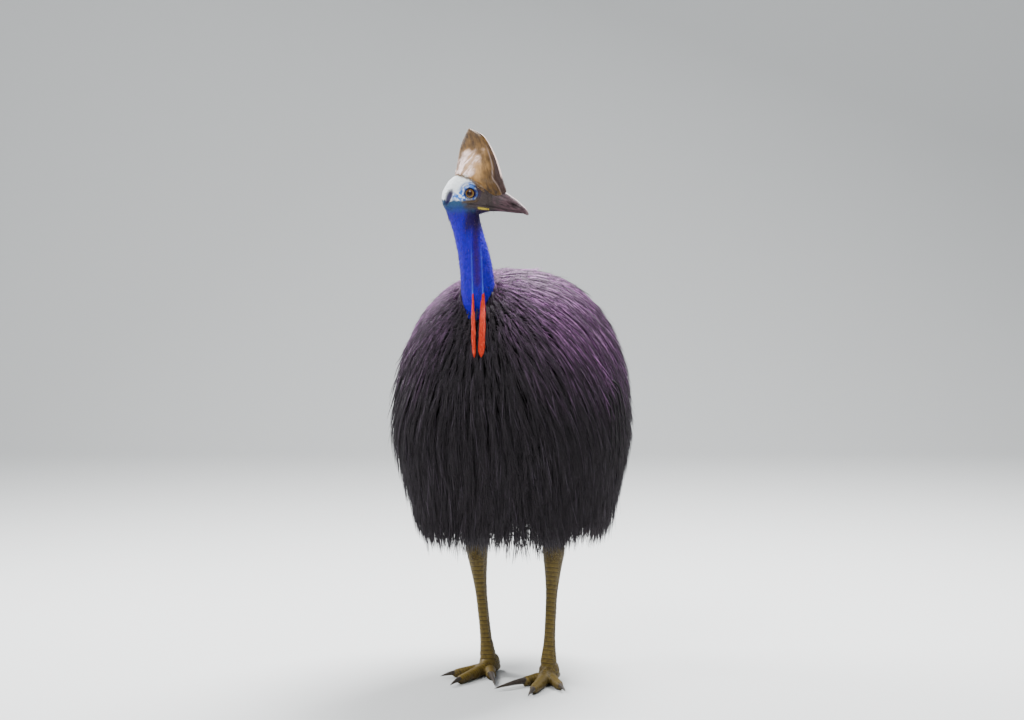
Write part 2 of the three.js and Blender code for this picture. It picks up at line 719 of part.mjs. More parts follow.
function claw(leg, toe, grow = 0) {
  const [length, radius, drop] = toe.claw;
  const ahead = toeAxis(leg, toe);
  const across = vec(-ahead.y, ahead.x, 0);
  const base = vec(leg.ankle[0], leg.ankle[1], 0).addScaledVector(ahead, toe.length - 9);
  const shares = [0, 0.14, 0.36, 0.6, 0.83];
  const at = (share) => {
    const centre = base.clone().addScaledVector(ahead, (length + 9) * share);
    centre.z = radius + 4 - drop * share * share;
    return centre;
  };
  const rings = shares.map((share, k) => {
    const size = radius * (1 - share) ** 0.75 + grow;
    const centre = at(share).addScaledVector(ahead, k === 0 ? -grow : 0);
    return [...Array(6).keys()].map((i) => centre.clone()
      .addScaledVector(across, 0.85 * size * Math.cos((i * Math.PI) / 3))
      .add(vec(0, 0, size * Math.sin((i * Math.PI) / 3))));
  });
  rings.push([at(1).addScaledVector(ahead, grow)]);
  return loft(rings);
}
function foot(leg) {
  const hub = new THREE.SphereGeometry(1, 10, 5);
  hub.scale(27, 33, 31).translate(leg.ankle[0], leg.ankle[1] + 8, 27);
  const pad = new THREE.SphereGeometry(1, 8, 5);
  pad.scale(22, 24, 15).translate(leg.ankle[0], leg.ankle[1] + 30, 13);
  const toes = Object.values(TOES);
  return united([hub, pad, ...toes.map((toe) => toeBody(leg, toe))])
    .subtract(united([shank(leg, GAP), ...toes.map((toe) => claw(leg, toe, GAP))]))
    .trimByPlane([0, 0, 1], 0);
}

// Solids, each cut clear of its neighbours
const plumes = coatPlumes();
const plumeSolids = (onTail) => plumes.filter((one) => one.tail === onTail)
  .map((one) => solidOf(plume(one)));
const shell = solidOf(trunkShell());
const frontShell = shell.trimByPlane([0, -1, 0], -(TAIL.from - GAP / 2));
const rearShell = shell.trimByPlane([0, 1, 0], TAIL.from + GAP / 2);

const wings = { left: wing(1), right: wing(-1) };
const neckGrown = solidOf(neck(GAP));
const trunkCuts = Manifold.union([
  wing(1, GAP),
  wing(-1, GAP),
  neckGrown,
  solidOf(wattle(1, WATTLE.wide.left, GAP)),
  solidOf(wattle(-1, WATTLE.wide.right, GAP)),
]);
const torso = largest(Manifold.union([frontShell, ...plumeSolids(false)]).subtract(trunkCuts));
const overTail = plumes.filter((one) => !one.tail).map((one) => solidOf(plume(one, 1.5 * GAP)))
  .filter((solid) => solid.boundingBox().max[1] > TAIL.from - COAT.plumeWidth);
const tail = largest(Manifold.union([rearShell, ...plumeSolids(true)])
  .subtract(Manifold.union([
    solidOf(trunkShell(GAP)).trimByPlane([0, -1, 0], -(TAIL.from + GAP / 2)),
    ...overTail,
  ])));

const skullGrown = solidOf(skull(GAP));
const sockets = [1, -1].map((side) => eyeball(side, GAP));
const lids = [1, -1].map((side) => {
  const ring = new THREE.TorusGeometry(11.6, EYE.lid, 5, 12).rotateX(Math.PI / 2);
  return solidOf(headPlaced(ring, 0, side * 33.4, 0));
});
const ears = [1, -1].map((side) => {
  const cup = new THREE.SphereGeometry(1, 10, 6).scale(6, 7, 10).rotateY(0.2);
  return solidOf(headPlaced(cup, -50, side * (skullSide(-50, -6) + 1), -6));
});
const mouth = [1, -1].map((side) => solidOf(mouthCut(side)));
const head = largest(Manifold.union([solidOf(skull()), ...lids])
  .subtract(Manifold.union([...sockets, ...ears, ...mouth])));

const billLower = largest(solidOf(bill(BILL_LOWER, LOWER_SECTION)).subtract(skullGrown));
const nostrils = [1, -1].map((side) => {
  const slot = new THREE.SphereGeometry(1, 8, 5).scale(5.5, 3, 2.2).rotateY(0.55);
  return solidOf(headPlaced(slot, 100, side * 10.6, -25));
});
const billUpper = largest(solidOf(bill(BILL_UPPER, UPPER_SECTION))
  .subtract(Manifold.union([skullGrown, ...nostrils])));
const helmet = largest(solidOf(casque())
  .subtract(Manifold.union([skullGrown, solidOf(bill(BILL_UPPER, UPPER_SECTION, GAP))])));

const neckWhole = solidOf(neck());
const neckLower = neckWhole.trimByPlane([0, 0, -1], -(NECK.cut - GAP / 2));
const neckUpper = largest(neckWhole.trimByPlane([0, 0, 1], NECK.cut + GAP / 2)
  .subtract(solidOf(skull(2 * GAP))));

const bird = new THREE.Group();
bird.name = "cassowary";
function addNode(name, solid, colour, roughness) {
  const material = new THREE.MeshStandardMaterial({ color: colour, roughness, metalness: 0 });
  const mesh = new THREE.Mesh(geometryOf(solid.simplify(FINE)), material);
  mesh.name = name;
  bird.add(mesh);
}

addNode("head", head, 0x8fb6c8, 0.55);
addNode("casque", helmet, 0x5a4128, 0.45);
addNode("bill_upper", billUpper, 0x2a262b, 0.35);
addNode("bill_lower", billLower, 0x2a262b, 0.35);
addNode("neck_upper", neckUpper, 0x1f3fb4, 0.55);
addNode("neck_lower", neckLower, 0x2436c0, 0.55);
addNode("torso", torso, 0x1c161c, 0.7);
addNode("tail", tail, 0x1a141a, 0.7);
Object.entries(LEGS).forEach(([side, leg]) => {
  const sign = leg.side;
  addNode(`eye_${side}`, eyeball(sign), 0x8a4a1a, 0.1);
  addNode(`wattle_${side}`, largest(solidOf(wattle(sign, WATTLE.wide[side])).subtract(neckGrown)), 0xc8341e, 0.5);
  addNode(`wing_${side}`, wings[side], 0x17131a, 0.4);
  addNode(`thigh_${side}`, largest(solidOf(thigh(leg))
    .subtract(solidOf(trunkShell(GAP))).subtract(solidOf(shank(leg, 2 * GAP)))), 0x3a322c, 0.8);
  addNode(`shank_${side}`, solidOf(shank(leg)), 0x5d573c, 0.55);
  addNode(`foot_${side}`, largest(foot(leg)), 0x565038, 0.6);
  Object.entries(TOES).forEach(([toe, spec]) => {
    addNode(`claw_${toe}_${side}`, solidOf(claw(leg, spec)), 0x2b2622, 0.35);
  });
});

// The floor point under the middle of the bird's bounding box is the origin
const box = new THREE.Box3().setFromObject(bird);
const middle = box.getCenter(vec(0, 0, 0));
bird.position.set(-middle.x, -middle.y, -box.min.z);
bird.updateMatrixWorld(true);

export default bird;
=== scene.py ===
"""A southern cassowary at life size: bare skin, horn, eyes, wattles and a coat of hair-like plumes.

Shapes are worked out in millimetres in the bird's own frame, where it faces -Y and its left side is
+X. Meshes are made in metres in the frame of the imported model.
"""

from __future__ import annotations

import logging
import math
from dataclasses import dataclass, field
from enum import Enum

import bpy
import numpy as np
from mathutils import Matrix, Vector

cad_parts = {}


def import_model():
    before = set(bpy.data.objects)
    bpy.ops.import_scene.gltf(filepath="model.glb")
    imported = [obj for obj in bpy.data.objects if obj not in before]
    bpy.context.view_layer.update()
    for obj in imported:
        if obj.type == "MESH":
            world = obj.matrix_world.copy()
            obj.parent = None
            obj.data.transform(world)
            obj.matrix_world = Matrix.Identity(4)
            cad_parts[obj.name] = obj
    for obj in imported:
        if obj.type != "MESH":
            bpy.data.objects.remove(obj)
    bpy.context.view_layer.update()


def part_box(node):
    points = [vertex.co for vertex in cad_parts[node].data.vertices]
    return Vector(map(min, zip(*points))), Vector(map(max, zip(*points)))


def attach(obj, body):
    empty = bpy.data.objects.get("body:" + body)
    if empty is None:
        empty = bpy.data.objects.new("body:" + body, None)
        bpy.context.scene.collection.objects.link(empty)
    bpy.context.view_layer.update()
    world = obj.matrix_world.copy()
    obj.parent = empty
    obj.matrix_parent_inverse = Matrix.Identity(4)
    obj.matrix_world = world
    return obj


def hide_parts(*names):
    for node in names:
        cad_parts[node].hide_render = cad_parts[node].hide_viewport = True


LOG = logging.getLogger("cassowary")
MILLIMETRE = 0.001
UP = np.array([0.0, 0.0, 1.0])
SHORT_RINGS = np.array([0.0, 0.34, 0.7, 1.0])
Array = np.ndarray
Colour = tuple[float, float, float]
Socket = bpy.types.NodeSocket
Material = bpy.types.Material
Object = bpy.types.Object


class Slot(str, Enum):
    """Names of material slots, passed along with the pieces; nothing reads them."""

    CASQUE = "casque_horn"
    BILL = "bill_horn"
    NECK = "neck_skin"
    PLUMES = "plumes"
    EYE = "eye"
    WATTLE = "wattle_skin"
    QUILL = "quill"
    CLAW = "claw_horn"


class Side(Enum):
    """A side of the bird, with its direction along X."""

    LEFT = 1
    RIGHT = -1

    @property
    def word(self) -> str:
        """The side's name as the nodes spell it."""
        return self.name.lower()


class Zone(Enum):
    """The parts of the skin that have a finish of their own, by its place on the skin."""

    BARE = 0
    FEATHERED = 1
    SCALED = 2


# ---------------------------------------------------------------- numbers and noise


def unit(vectors: Array) -> Array:
    """Vectors scaled to length one."""
    return vectors / np.maximum(np.linalg.norm(vectors, axis=-1, keepdims=True), 1e-9)


def squared(vectors: Array, ahead: Array) -> Array:
    """Vectors made square to a direction of length one, at length one."""
    return unit(vectors - ahead * np.sum(vectors * ahead, axis=-1, keepdims=True))


def smooth(share: Array) -> Array:
    """A share clamped to 0 to 1 and eased at both ends."""
    t = np.clip(share, 0.0, 1.0)
    return t * t * (3.0 - 2.0 * t)


def mix(a: Array, b: Array, share: Array) -> Array:
    """The value a share of the way from a to b."""
    return a + (b - a) * share


def hump(offset: Array, width: float) -> Array:
    """A bell of height one round zero."""
    return np.exp(-((offset / width) ** 2))


def above(value: Array, start: Array | float, width: Array | float) -> Array:
    """Zero up to a start and one from a width beyond it, eased between."""
    return smooth((value - start) / width)


def below(value: Array, end: Array | float, width: Array | float) -> Array:
    """One down from a width before an end and zero beyond it, eased between."""
    return smooth((end - value) / width)


def xyz(x: Array | float, y: Array | float, z: Array | float) -> Array:
    """Points from their coordinates, spread to one shape."""
    return np.stack(np.broadcast_arrays(x, y, z), axis=-1)


@dataclass(frozen=True)
class Profile:
    """A table whose columns are read along a smooth curve through its rows.

    The first column is the place. It rises or falls all the way.
    """

    rows: tuple[tuple[float, ...], ...]

    def at(self, place: Array) -> Array:
        """The other columns at each place, the columns coming first."""
        table = np.array(self.rows, dtype=float)
        if table[0, 0] > table[-1, 0]:
            table = table[::-1]
        x, y = table[:, 0], table[:, 1:]
        slope = np.empty_like(y)
        slope[1:-1] = (y[2:] - y[:-2]) / (x[2:] - x[:-2])[:, None]
        slope[0] = (y[1] - y[0]) / (x[1] - x[0])
        slope[-1] = (y[-1] - y[-2]) / (x[-1] - x[-2])
        place = np.asarray(place, dtype=float)
        i = np.clip(np.searchsorted(x, place, side="right") - 1, 0, len(x) - 2)
        span = (x[i + 1] - x[i])[..., None]
        t = np.clip((place[..., None] - x[i][..., None]) / span, 0.0, 1.0)
        t2, t3 = t * t, t * t * t
        start = (2 * t3 - 3 * t2 + 1) * y[i] + (t3 - 2 * t2 + t) * slope[i] * span
        end = (3 * t2 - 2 * t3) * y[i + 1] + (t3 - t2) * slope[i + 1] * span
        return np.moveaxis(start + end, -1, 0)


@dataclass(frozen=True)
class Grain:
    """Smooth seeded noise in space, from about -1 to 1.

    Attributes:
        size: distance in millimetres between two lumps, for all axes or for each.
        seed: which pattern.
        octaves: how many layers are added, each at half the size and strength of the last.
    """

    size: float | tuple[float, float, float]
    seed: int
    octaves: int = 2

    def at(self, points: Array) -> Array:
        """The noise at each point."""
        total = np.zeros(points.shape[:-1])
        for layer in range(self.octaves):
            cells = points * (2.0**layer) / np.array(self.size)
            total += self._layer(cells, self.seed * 31 + layer) / 2.0**layer
        return total / (2.0 - 2.0 ** (1 - self.octaves))

    @staticmethod
    def _layer(cells: Array, seed: int) -> Array:
        """One layer of noise from scrambled values at whole-numbered places."""
        base = np.floor(cells)
        ease = smooth(cells - base)
        base = base.astype(np.int64)
        total = np.zeros(cells.shape[:-1])
        for corner in range(8):
            step = np.array([corner & 1, (corner >> 1) & 1, (corner >> 2) & 1])
            at = base + step
            mixed = at[..., 0] * 73856093 ^ at[..., 1] * 19349663 ^ at[..., 2] * 83492791
            mixed = (mixed ^ (seed * 2654435761)) & 0xFFFFFFFF
            mixed = ((mixed ^ (mixed >> 15)) * 2246822519) & 0xFFFFFFFF
            mixed = ((mixed ^ (mixed >> 13)) * 3266489917) & 0xFFFFFFFF
            value = ((mixed ^ (mixed >> 16)) & 0xFFFFFF) / float(0x7FFFFF) - 1.0
            total += value * np.prod(np.where(step == 1, ease, 1.0 - ease), axis=-1)
        return total * 1.6


# ---------------------------------------------------------------- rings, shells and meshes


def turns(count: int) -> Array:
    """Angles spaced evenly round a ring."""
    return np.linspace(0.0, 2.0 * math.pi, count, endpoint=False)


def globe(tilt: Array, around: int) -> Array:
    """Rings of a ball of radius one, each at its angle from the ball's top."""
    flat, turn = np.sin(tilt)[:, None], turns(around)
    return xyz(flat * np.cos(turn), flat * np.sin(turn), np.cos(tilt)[:, None])


def ovals(
    middle: Array, first: Array, wide: Array, second: Array, tall: Array, turn: Array,
    shape: Array | float = 1.0,
) -> Array:
    """Oval rings along a line.

    Args:
        middle: the middle of each ring.
        first: the direction across the rings at angle zero, for all or for each.
        wide: how far each ring reaches that way.
        second: the direction at a quarter turn, for all or for each.
        tall: how far each ring reaches that way.
        turn: the angles round a ring.
        shape: what the reach is multiplied by at each angle.

    Returns:
        The points, by ring and angle.
    """
    first, second = np.atleast_2d(first)[:, None], np.atleast_2d(second)[:, None]
    return (
        middle[:, None]
        + first * (wide[:, None] * np.cos(turn) * shape)[..., None]
        + second * (tall[:, None] * np.sin(turn) * shape)[..., None]
    )


@dataclass
class Shell:
    """A surface: its points in millimetres and its faces as rows of point numbers."""

    points: Array
    faces: list[Array]

    @staticmethod
    def points_of(rings: Array) -> Array:
        """The points of a lofted shell in order: ring by ring, then the middles of its ends."""
        return np.concatenate([rings.reshape(-1, 3), rings[[0, -1]].mean(axis=1)])

    @staticmethod
    def spread(
        values: Array, shape: tuple[int, ...], ends: tuple[float, float] = (0.5, 0.5)
    ) -> Array:
        """One number for each point of a lofted shell, in the same order."""
        return np.append(np.broadcast_to(values, shape), ends)

    @staticmethod
    def lofted(rings: Array) -> Shell:
        """A closed surface through rings of points, with a fan over each end."""
        count, around, _ = rings.shape
        index = np.arange(count * around).reshape(count, around)
        after = np.roll(index, -1, axis=1)
        quads = np.stack([index[:-1], after[:-1], after[1:], index[1:]], axis=-1).reshape(-1, 4)
        middle = np.full(around, count * around)
        near = np.stack([middle, after[0], index[0]], axis=-1)
        far = np.stack([middle + 1, index[-1], after[-1]], axis=-1)
        return Shell(Shell.points_of(rings), [quads, near, far])

    @staticmethod
    def joined(shells: list[Shell]) -> Shell:
        """Several shells as one, each with its faces turned outwards."""
        faces, start = [], 0
        for shell in shells:
            order = 1 if shell.volume() > 0 else -1
            faces += [(f + start)[:, ::order] for f in shell.faces]
            start += len(shell.points)
        return Shell(np.concatenate([shell.points for shell in shells]), faces)

    def mesh(self, name: str, place: Placement) -> bpy.types.Mesh:
        """Makes the mesh, in metres, with its faces turned outwards."""
        mesh = bpy.data.meshes.new(name)
        flat = np.concatenate([f.reshape(-1) for f in self.faces]).astype(np.int32)
        sizes = np.concatenate([np.full(len(f), f.shape[1]) for f in self.faces]).astype(np.int32)
        mesh.vertices.add(len(self.points))
        mesh.vertices.foreach_set("co", place.metres(self.points).astype(np.float32).reshape(-1))
        mesh.loops.add(len(flat))
        mesh.loops.foreach_set("vertex_index", flat)
        mesh.polygons.add(len(sizes))
        starts = np.concatenate([[0], np.cumsum(sizes)[:-1]]).astype(np.int32)
        mesh.polygons.foreach_set("loop_start", starts)
        mesh.update(calc_edges=True)
        mesh.validate()
        if self.volume() < 0.0:
            mesh.flip_normals()
        shade_smooth(mesh)
        return mesh

    def volume(self) -> float:
        """The volume that the faces enclose, below zero where they point inwards."""
        total = 0.0
        for faces in self.faces:
            corner = self.points[faces]
            for k in range(1, faces.shape[1] - 1):
                cross = np.cross(corner[:, k], corner[:, k + 1])
                total += float(np.einsum("ij,ij->", corner[:, 0], cross))
        return total / 6.0


@dataclass(frozen=True)
class Placement:
    """Where the bird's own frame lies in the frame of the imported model."""

    shift: tuple[float, float, float]

    def metres(self, points: Array) -> Array:
        """Points in the bird's frame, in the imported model's metres."""
        return (points + np.array(self.shift)) * MILLIMETRE

    def millimetres(self, points: Array) -> Array:
        """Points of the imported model, in the bird's own millimetres."""
        return points / MILLIMETRE - np.array(self.shift)


def shade_smooth(mesh: bpy.types.Mesh) -> None:
    """Shades every face of a mesh smoothly."""
    mesh.polygons.foreach_set("use_smooth", np.ones(len(mesh.polygons), dtype=bool))


def vectors_of(rows: bpy.types.bpy_prop_collection, key: str) -> Array:
    """One vector for each row of a mesh's data."""
    flat = np.empty(len(rows) * 3, dtype=np.float32)
    rows.foreach_get(key, flat)
    return flat.reshape(-1, 3).astype(float)


def set_masks(mesh: bpy.types.Mesh, masks: dict[str, Array]) -> None:
    """Stores numbers for each vertex under names that a material can read."""
    for name, values in masks.items():
        layer = mesh.attributes.new(name, "FLOAT", "POINT")
        layer.data.foreach_set("value", values.astype(np.float32))


@dataclass
class Workshop:
    """Turns shells and strands into pieces of the bird and hands them to the frame."""

    place: Placement
    made: list[Object] = field(default_factory=list)

    def object_of(self, name: str, form: Shell | Strands) -> Object:
        """An object in the scene that shows a form."""
        piece = bpy.data.objects.new(name, form.mesh(name, self.place))
        bpy.context.scene.collection.objects.link(piece)
        return piece

    def hand_in(self, piece: Object, slot: Slot, *nodes: str) -> Object:
        """Rides a finished piece on the body and lets it stand for its nodes."""
        if nodes:
            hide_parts(*nodes)
        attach(piece, "root")
        self.made.append(piece)
        LOG.info("%s: %d faces", piece.name, len(piece.data.polygons))
        return piece

    def piece(
        self, name: str, form: Shell | Strands, finish: Material, slot: Slot, *nodes: str,
        **masks: Array,
    ) -> Object:
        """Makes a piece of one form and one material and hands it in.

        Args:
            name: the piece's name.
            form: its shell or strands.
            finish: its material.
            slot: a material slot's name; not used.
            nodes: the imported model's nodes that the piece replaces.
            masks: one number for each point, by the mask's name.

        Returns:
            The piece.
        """
        piece = self.object_of(name, form)
        piece.data.materials.append(finish)
        set_masks(piece.data, masks)
        return self.hand_in(piece, slot, *nodes)

    def points(self, piece: Object) -> Array:
        """The places of a piece's vertices in the bird's own frame."""
        return self.place.millimetres(vectors_of(piece.data.vertices, "co"))

    def raise_by(self, piece: Object, height: Array) -> Array:
        """The places of a piece's vertices once they are raised along their normals."""
        normals = vectors_of(piece.data.vertex_normals, "vector")
        return self.points(piece) + normals * height[:, None]

    def move(self, piece: Object, points: Array) -> None:
        """Moves a piece's vertices to places in the bird's own frame."""
        flat = self.place.metres(points).astype(np.float32).reshape(-1)
        piece.data.vertices.foreach_set("co", flat)
        piece.data.update()

    def mark(self, piece: Object, zone: Zone) -> None:
        """Gives every face of a part of the skin the finish of its zone."""
        flags = np.full(len(piece.data.polygons), zone.value, dtype=np.int32)
        piece.data.polygons.foreach_set("material_index", flags)

    def applied(self, piece: Object) -> None:
        """Bakes a piece's modifiers into its mesh."""
        bpy.context.view_layer.update()
        graph = bpy.context.evaluated_depsgraph_get()
        result = bpy.data.meshes.new_from_object(piece.evaluated_get(graph))
        old = piece.data
        piece.modifiers.clear()
        piece.data = result
        bpy.data.meshes.remove(old)

    def fused(self, name: str, shells: list[Shell], voxel: float, rounds: int) -> Object:
        """Melts overlapping shells into one even, smoothed surface.

        Args:
            name: the new object's name.
            shells: closed shells that overlap.
            voxel: size of the faces in millimetres.
            rounds: how many times the surface is smoothed.

        Returns:
            The new object, not handed in yet.
        """
        piece = self.object_of(name, Shell.joined(shells))
        remesh = piece.modifiers.new("melt", "REMESH")
        remesh.mode = "VOXEL"
        remesh.voxel_size = voxel * MILLIMETRE
        relax = piece.modifiers.new("relax", "SMOOTH")
        relax.factor = 0.5
        relax.iterations = rounds
        self.applied(piece)
        shade_smooth(piece.data)
        return piece


# ---------------------------------------------------------------- shader helpers


class Tree:
    """Adds nodes to one material or node group and links them as it goes."""

    def __init__(self, tree: bpy.types.NodeTree) -> None:
        """Takes the tree to fill."""
        self.tree = tree

    def add(self, kind: str, _out: str | int = 0, _set: dict | None = None, **inputs) -> Socket:
        """Adds a node, fills its inputs and gives back one output.

        Args:
            kind: the node type without its leading ShaderNode.
            _out: which output is returned.
            _set: values for the node's own settings.
            inputs: values or sockets by input name. A name such as in_0 means the input of that
                number.

        Returns:
            The chosen output socket.
        """
        node = self.tree.nodes.new("ShaderNode" + kind)
        for key, value in (_set or {}).items():
            setattr(node, key, value)
        for key, value in inputs.items():
            self.put(node.inputs[int(key[3:]) if key.startswith("in_") else key], value)
        return node.outputs[_out]

    def put(self, socket: Socket, value: object) -> None:
        """Links a socket or sets its value."""
        if isinstance(value, bpy.types.NodeSocket):
            self.tree.links.new(value, socket)
        elif socket.type == "RGBA" and len(value) == 3:
            socket.default_value = (*value, 1.0)
        else:
            socket.default_value = value

    def math(self, how: str, a: object, b: object = 0.0, clamp: bool = False) -> Socket:
        """One sum of two numbers."""
        return self.add("Math", _set={"operation": how, "use_clamp": clamp}, in_0=a, in_1=b)

    def times(self, value: object, *others: object) -> Socket:
        """The product of some numbers."""
        for other in others:
            value = self.math("MULTIPLY", value, other)
        return value

    def blend(self, share: object, a: object, b: object, how: str = "MIX") -> Socket:
        """One colour laid over another by a share."""
        setting = {"data_type": "RGBA", "blend_type": how}
        return self.add("Mix", _out=2, _set=setting, in_0=share, in_6=a, in_7=b)

    def layers(self, colour: object, *layers: tuple[object, object]) -> Socket:
        """Colours laid over one another, each by its share."""
        for share, tint in layers:
            colour = self.blend(share, colour, tint)
        return colour

    def mask(self, name: str) -> Socket:
        """A number stored on the mesh, zero where the mesh has none."""
        return self.add("Attribute", _out="Fac", _set={"attribute_name": name})

    def place(self, turn: float | None = None) -> Socket:
        """The place on the object in metres, turned about Y where a turn is given."""
        place = self.add("TexCoord", _out="Object")
        if turn is None:
            return place
        setting = {"rotation_type": "Y_AXIS"}
        return self.add("VectorRotate", _set=setting, Vector=place, Angle=turn)

    def ramp(self, value: object, *stops: tuple[float, float]) -> Socket:
        """A number bent through a few stops, each a place and a height."""
        node = self.tree.nodes.new("ShaderNodeValToRGB")
        node.color_ramp.interpolation = "EASE"
        elements = node.color_ramp.elements
        while len(elements) < len(stops):
            elements.new(0.5)
        for element, (at, height) in zip(elements, stops):
            element.position = at
            element.color = (height, height, height, 1.0)
        self.put(node.inputs["Fac"], value)
        return node.outputs["Color"]


class Effect(Enum):
    """Shader effects that several finishes share, each built once as a node group."""

    MOTTLE = "mottle"
    STREAKS = "streaks"
    CELLS = "cells"

    def group(self) -> bpy.types.NodeTree:
        """The effect's node group, made when it is first asked for."""
        name = f"effect_{self.value}"
        if name in bpy.data.node_groups:
            return bpy.data.node_groups[name]
        tree = bpy.data.node_groups.new(name, "ShaderNodeTree")
        for key, way, kind in (
            ("Vector", "INPUT", "Vector"),
            ("Scale", "INPUT", "Float"),
            ("Contrast", "INPUT", "Float"),
            ("Mask", "OUTPUT", "Float"),
        ):
            tree.interface.new_socket(key, in_out=way, socket_type=f"NodeSocket{kind}")
        build = Tree(tree)
        vector, scale, contrast = tree.nodes.new("NodeGroupInput").outputs[:3]
        noise = {"Scale": scale, "Roughness": 0.6}
        if self is Effect.STREAKS:
            squeeze = {"operation": "MULTIPLY"}
            vector = build.add("VectorMath", _set=squeeze, in_0=vector, in_1=(1.0, 1.0, 0.12))
            raw = build.add("TexNoise", Vector=vector, Detail=4.0, **noise)
        elif self is Effect.CELLS:
            setting = {"feature": "DISTANCE_TO_EDGE"}
            raw = build.add("TexVoronoi", _set=setting, Vector=vector, Scale=scale)
            raw = build.math("MULTIPLY", raw, 3.0, clamp=True)
        else:
            raw = build.add("TexNoise", Vector=vector, Detail=5.0, **noise)
        spread = build.times(build.math("SUBTRACT", raw, 0.5), contrast)
        result = build.math("ADD", spread, 0.5, clamp=True)
        tree.links.new(result, tree.nodes.new("NodeGroupOutput").inputs[0])
        return tree

    def mask(self, tree: Tree, vector: Socket, scale: float, contrast: float = 1.0) -> Socket:
        """Places the effect in a material.

        Args:
            tree: the material's nodes.
            vector: the place on the object.
            scale: how fine the effect is, per metre.
            contrast: how far it swings round one half.

        Returns:
            The mask, from 0 to 1.
        """
        node = tree.tree.nodes.new("ShaderNodeGroup")
        node.node_tree = self.group()
        tree.put(node.inputs["Vector"], vector)
        node.inputs["Scale"].default_value = scale
        node.inputs["Contrast"].default_value = contrast
        return node.outputs["Mask"]


# ---------------------------------------------------------------- finishes


@dataclass
class Look:
    """What a finish feeds to its shader.

    Attributes:
        colour: the base colour.
        rough: the roughness.
        specular: the specular level.
        height: what bumps the surface.
        depth: how deep it bumps, in millimetres.
        more: constants for other sockets, by name.
    """

    colour: Socket | Colour
    rough: Socket | float
    specular: float = 0.5
    height: Socket | None = None
    depth: float = 0.0
    more: dict[str, object] = field(default_factory=dict)


@dataclass(frozen=True)
class Finish:
    """What every finish has: a name and one Principled shader."""

    name: str

    def material(self) -> Material:
        """Builds the material."""
        made = bpy.data.materials.new(self.name)
        made.use_nodes = True
        sockets = made.node_tree.nodes["Principled BSDF"].inputs
        tree = Tree(made.node_tree)
        look = self.look(tree)
        fed = {"Base Color": look.colour, "Roughness": look.rough}
        for key, value in {**fed, "Specular IOR Level": look.specular, **look.more}.items():
            tree.put(sockets[key], value)
        if look.height is not None:
            depth = look.depth * MILLIMETRE
            bump = tree.add("Bump", Strength=1.0, Distance=depth, Height=look.height)
            tree.put(sockets["Normal"], bump)
        return made

    def look(self, tree: Tree) -> Look:
        """Builds what the shader is fed."""
        raise NotImplementedError


@dataclass(frozen=True)
class PlumeFinish(Finish):
    """Hair-like plumes: black below, and purple-grey where they face up, partly sun-bleached
    feathers and partly a painted sheen of the light from above.
    """

    deep: Colour = (0.0235, 0.0220, 0.0240)
    bloom: Colour = (0.50, 0.205, 0.52)
    rust: Colour = (0.030, 0.025, 0.028)
    glint: Colour = (0.075, 0.061, 0.080)

    def look(self, tree: Tree) -> Look:
        """Colours each strand by its own tone and its place on the body."""
        tone, reach = tree.mask("tone"), tree.mask("reach")
        share = tree.ramp(tone, (0.0, 0.03), (0.45, 0.2), (1.0, 1.0))
        fade = tree.ramp(reach, (0.0, 1.0), (0.5, 1.0), (1.0, 0.3))
        tip = tree.math("SUBTRACT", reach, 0.7, clamp=True)
        colour = tree.layers(
            self.deep,
            (tree.times(tone, 0.8), self.rust),
            # painted highlight: the glint colour on the strands of highest tone
            (tree.ramp(tone, (0.74, 0.0), (1.0, 1.0)), self.glint),
            # purple-grey where the plumes face up: partly sun-bleach, partly a painted sheen of the
            # light from above
            (tree.times(tree.mask("bloom"), share, fade), self.bloom),
            (tree.times(tip, 0.9), self.rust),
        )
        rough = tree.ramp(tone, (0.0, 0.55), (1.0, 0.36))
        return Look(colour, rough, 0.14, more={"Specular Tint": (1.0, 0.85, 1.0)})


@dataclass(frozen=True)
class SkinFinish(Finish):
    """Bare skin of the head and neck, coloured by the masks that the skin carries."""

    royal: Colour = (0.007, 0.0005, 0.42)
    violet: Colour = (0.034, 0.001, 0.30)
    glow: Colour = (0.050, 0.004, 0.66)
    pale: Colour = (0.93, 0.98, 1.0)
    sky: Colour = (0.030, 0.175, 0.66)
    under: tuple[tuple[str, Colour], ...] = (
        ("stripe", (0.034, 0.005, 0.135)),
        # dark throat skin, and a painted shade in a band just under the head
        ("throat", (0.015, 0.007, 0.043)),
        ("red", (0.40, 0.034, 0.007)),
        ("turquoise", (0.028, 0.078, 0.145)),
    )
    over: tuple[tuple[str, Colour], ...] = (
        ("line", (0.10, 0.24, 0.85)),
        ("lores", (0.060, 0.046, 0.044)),
        ("gilt", (0.10, 0.060, 0.020)),
        ("ear", (0.012, 0.004, 0.055)),
        ("gape", (0.80, 0.60, 0.05)),
        ("fringe", (0.36, 0.24, 0.13)),
        ("down", (0.007, 0.006, 0.008)),
    )

    def look(self, tree: Tree) -> Look:
        """Lays one zone of colour over the next, the pale crown between the two lists."""
        place = tree.place()
        blotch = Effect.MOTTLE.mask(tree, place, 90.0, 1.6)
        patch = tree.ramp(Effect.MOTTLE.mask(tree, place, 130.0, 3.0), (0.2, 0.12), (0.62, 1.0))
        speck = Effect.MOTTLE.mask(tree, place, 520.0, 1.8)
        grain = tree.ramp(Effect.STREAKS.mask(tree, place, 330.0, 2.6), (0.5, 0.0), (1.0, 0.6))
        crown = tree.blend(tree.times(patch, tree.mask("sky")), self.pale, self.sky)
        zones = (*self.under, ("pale", crown), *self.over)
        colour = tree.layers(
            self.royal,
            (tree.times(blotch, 0.6), self.violet),
            (grain, self.glow),
            *((tree.mask(name), tint) for name, tint in zones),
        )
        shade = tree.ramp(speck, (0.0, 0.55), (1.0, 1.0))
        colour = tree.blend(1.0, colour, shade, how="MULTIPLY")
        rough = tree.ramp(speck, (0.0, 0.5), (1.0, 0.68))
        cells = Effect.CELLS.mask(tree, place, 620.0)
        return Look(colour, rough, 0.08, tree.blend(0.45, cells, speck), 0.5)


